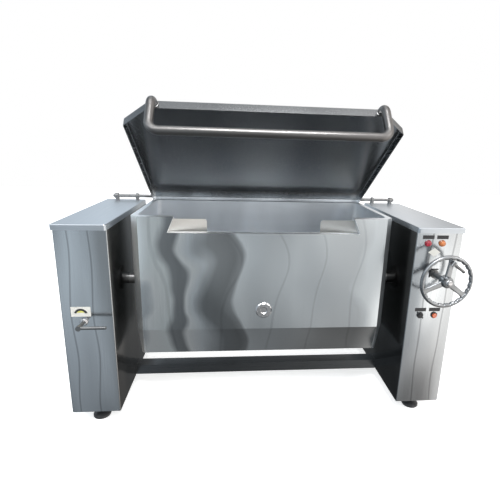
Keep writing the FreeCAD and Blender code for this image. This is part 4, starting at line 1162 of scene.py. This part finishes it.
    def sum_up(self, tree, operation, one, other):
        """One value and another, or a number, put together by a Math node."""
        made = tree.nodes.new("ShaderNodeMath")
        made.operation = operation
        tree.links.new(one, made.inputs[0])
        if isinstance(other, (int, float)):
            made.inputs[1].default_value = other
        else:
            tree.links.new(other, made.inputs[1])
        return made.outputs["Value"]

    def ramp(self, tree, value, stops):
        """A colour ramp in the sky from (position, colour) stops."""
        ramp = tree.nodes.new("ShaderNodeValToRGB")
        elements = ramp.color_ramp.elements
        while len(elements) < len(stops):
            elements.new(0.5)
        for element, (position, colour) in zip(elements, stops):
            element.position = position
            element.color = (*colour, 1)
        tree.links.new(value, ramp.inputs["Fac"])
        return ramp.outputs["Color"]

    def camera(self, scene, stage):
        """Axes of the view from its yaw, pitch and roll, then the lens and its shift."""
        yaw, pitch, roll = stage.camera_yaw, stage.camera_pitch, stage.camera_roll
        ahead = np.array([math.sin(yaw) * math.cos(pitch), math.cos(yaw) * math.cos(pitch), -math.sin(pitch)])
        right = np.array([math.cos(yaw), -math.sin(yaw), 0])
        up = np.cross(right, ahead)
        across = right * math.cos(roll) + up * math.sin(roll)
        above = up * math.cos(roll) - right * math.sin(roll)
        camera = bpy.data.cameras.new("camera")
        camera.lens = stage.lens
        camera.sensor_width = 36
        camera.shift_x = stage.shift_x
        camera.shift_y = stage.shift_y
        eye = bpy.data.objects.new("camera", camera)
        eye.matrix_world = matrix(across, above, -ahead, stage.camera_place)
        scene.collection.objects.link(eye)
        scene.camera = eye


def matrix(x, y, z, place):
    """A placement from its three axes and its place."""
    return Matrix([(x[i], y[i], z[i], place[i]) for i in range(3)] + [(0, 0, 0, 1)])


PIECES = (BRATT_OT_finishes, BRATT_OT_feet, BRATT_OT_columns, BRATT_OT_covers, BRATT_OT_lid, BRATT_OT_grip, BRATT_OT_lip,
          BRATT_OT_wheel, BRATT_OT_controls)
CLASSES = (BrattSizes, BrattNotch, BrattLid, BrattColours, BrattStage, *PIECES, BRATT_OT_stage)


class BRATT_PT_panel(bpy.types.Panel):
    """The bratt pan's pieces, each with its own button"""
    bl_label = "Bratt Pan"
    bl_idname = "BRATT_PT_panel"
    bl_space_type = "VIEW_3D"
    bl_region_type = "UI"
    bl_category = "Bratt Pan"

    def draw(self, context):
        for operator in (*PIECES, BRATT_OT_stage):
            self.layout.operator(operator.bl_idname)


def register():
    for made in (*CLASSES, BRATT_PT_panel):
        bpy.utils.register_class(made)
    bpy.types.Scene.bratt_sizes = bpy.props.PointerProperty(type=BrattSizes)
    bpy.types.Scene.bratt_notch = bpy.props.PointerProperty(type=BrattNotch)
    bpy.types.Scene.bratt_lid = bpy.props.PointerProperty(type=BrattLid)
    bpy.types.Scene.bratt_colours = bpy.props.PointerProperty(type=BrattColours)
    bpy.types.Scene.bratt_stage = bpy.props.PointerProperty(type=BrattStage)


def unregister():
    for name in ("bratt_sizes", "bratt_notch", "bratt_lid", "bratt_colours", "bratt_stage"):
        delattr(bpy.types.Scene, name)
    for made in reversed((*CLASSES, BRATT_PT_panel)):
        bpy.utils.unregister_class(made)


def main():
    register()
    for operator in (*PIECES, BRATT_OT_stage):
        group, name = operator.bl_idname.split(".")
        getattr(getattr(bpy.ops, group), name)()


if __name__ == "__main__":
    main()
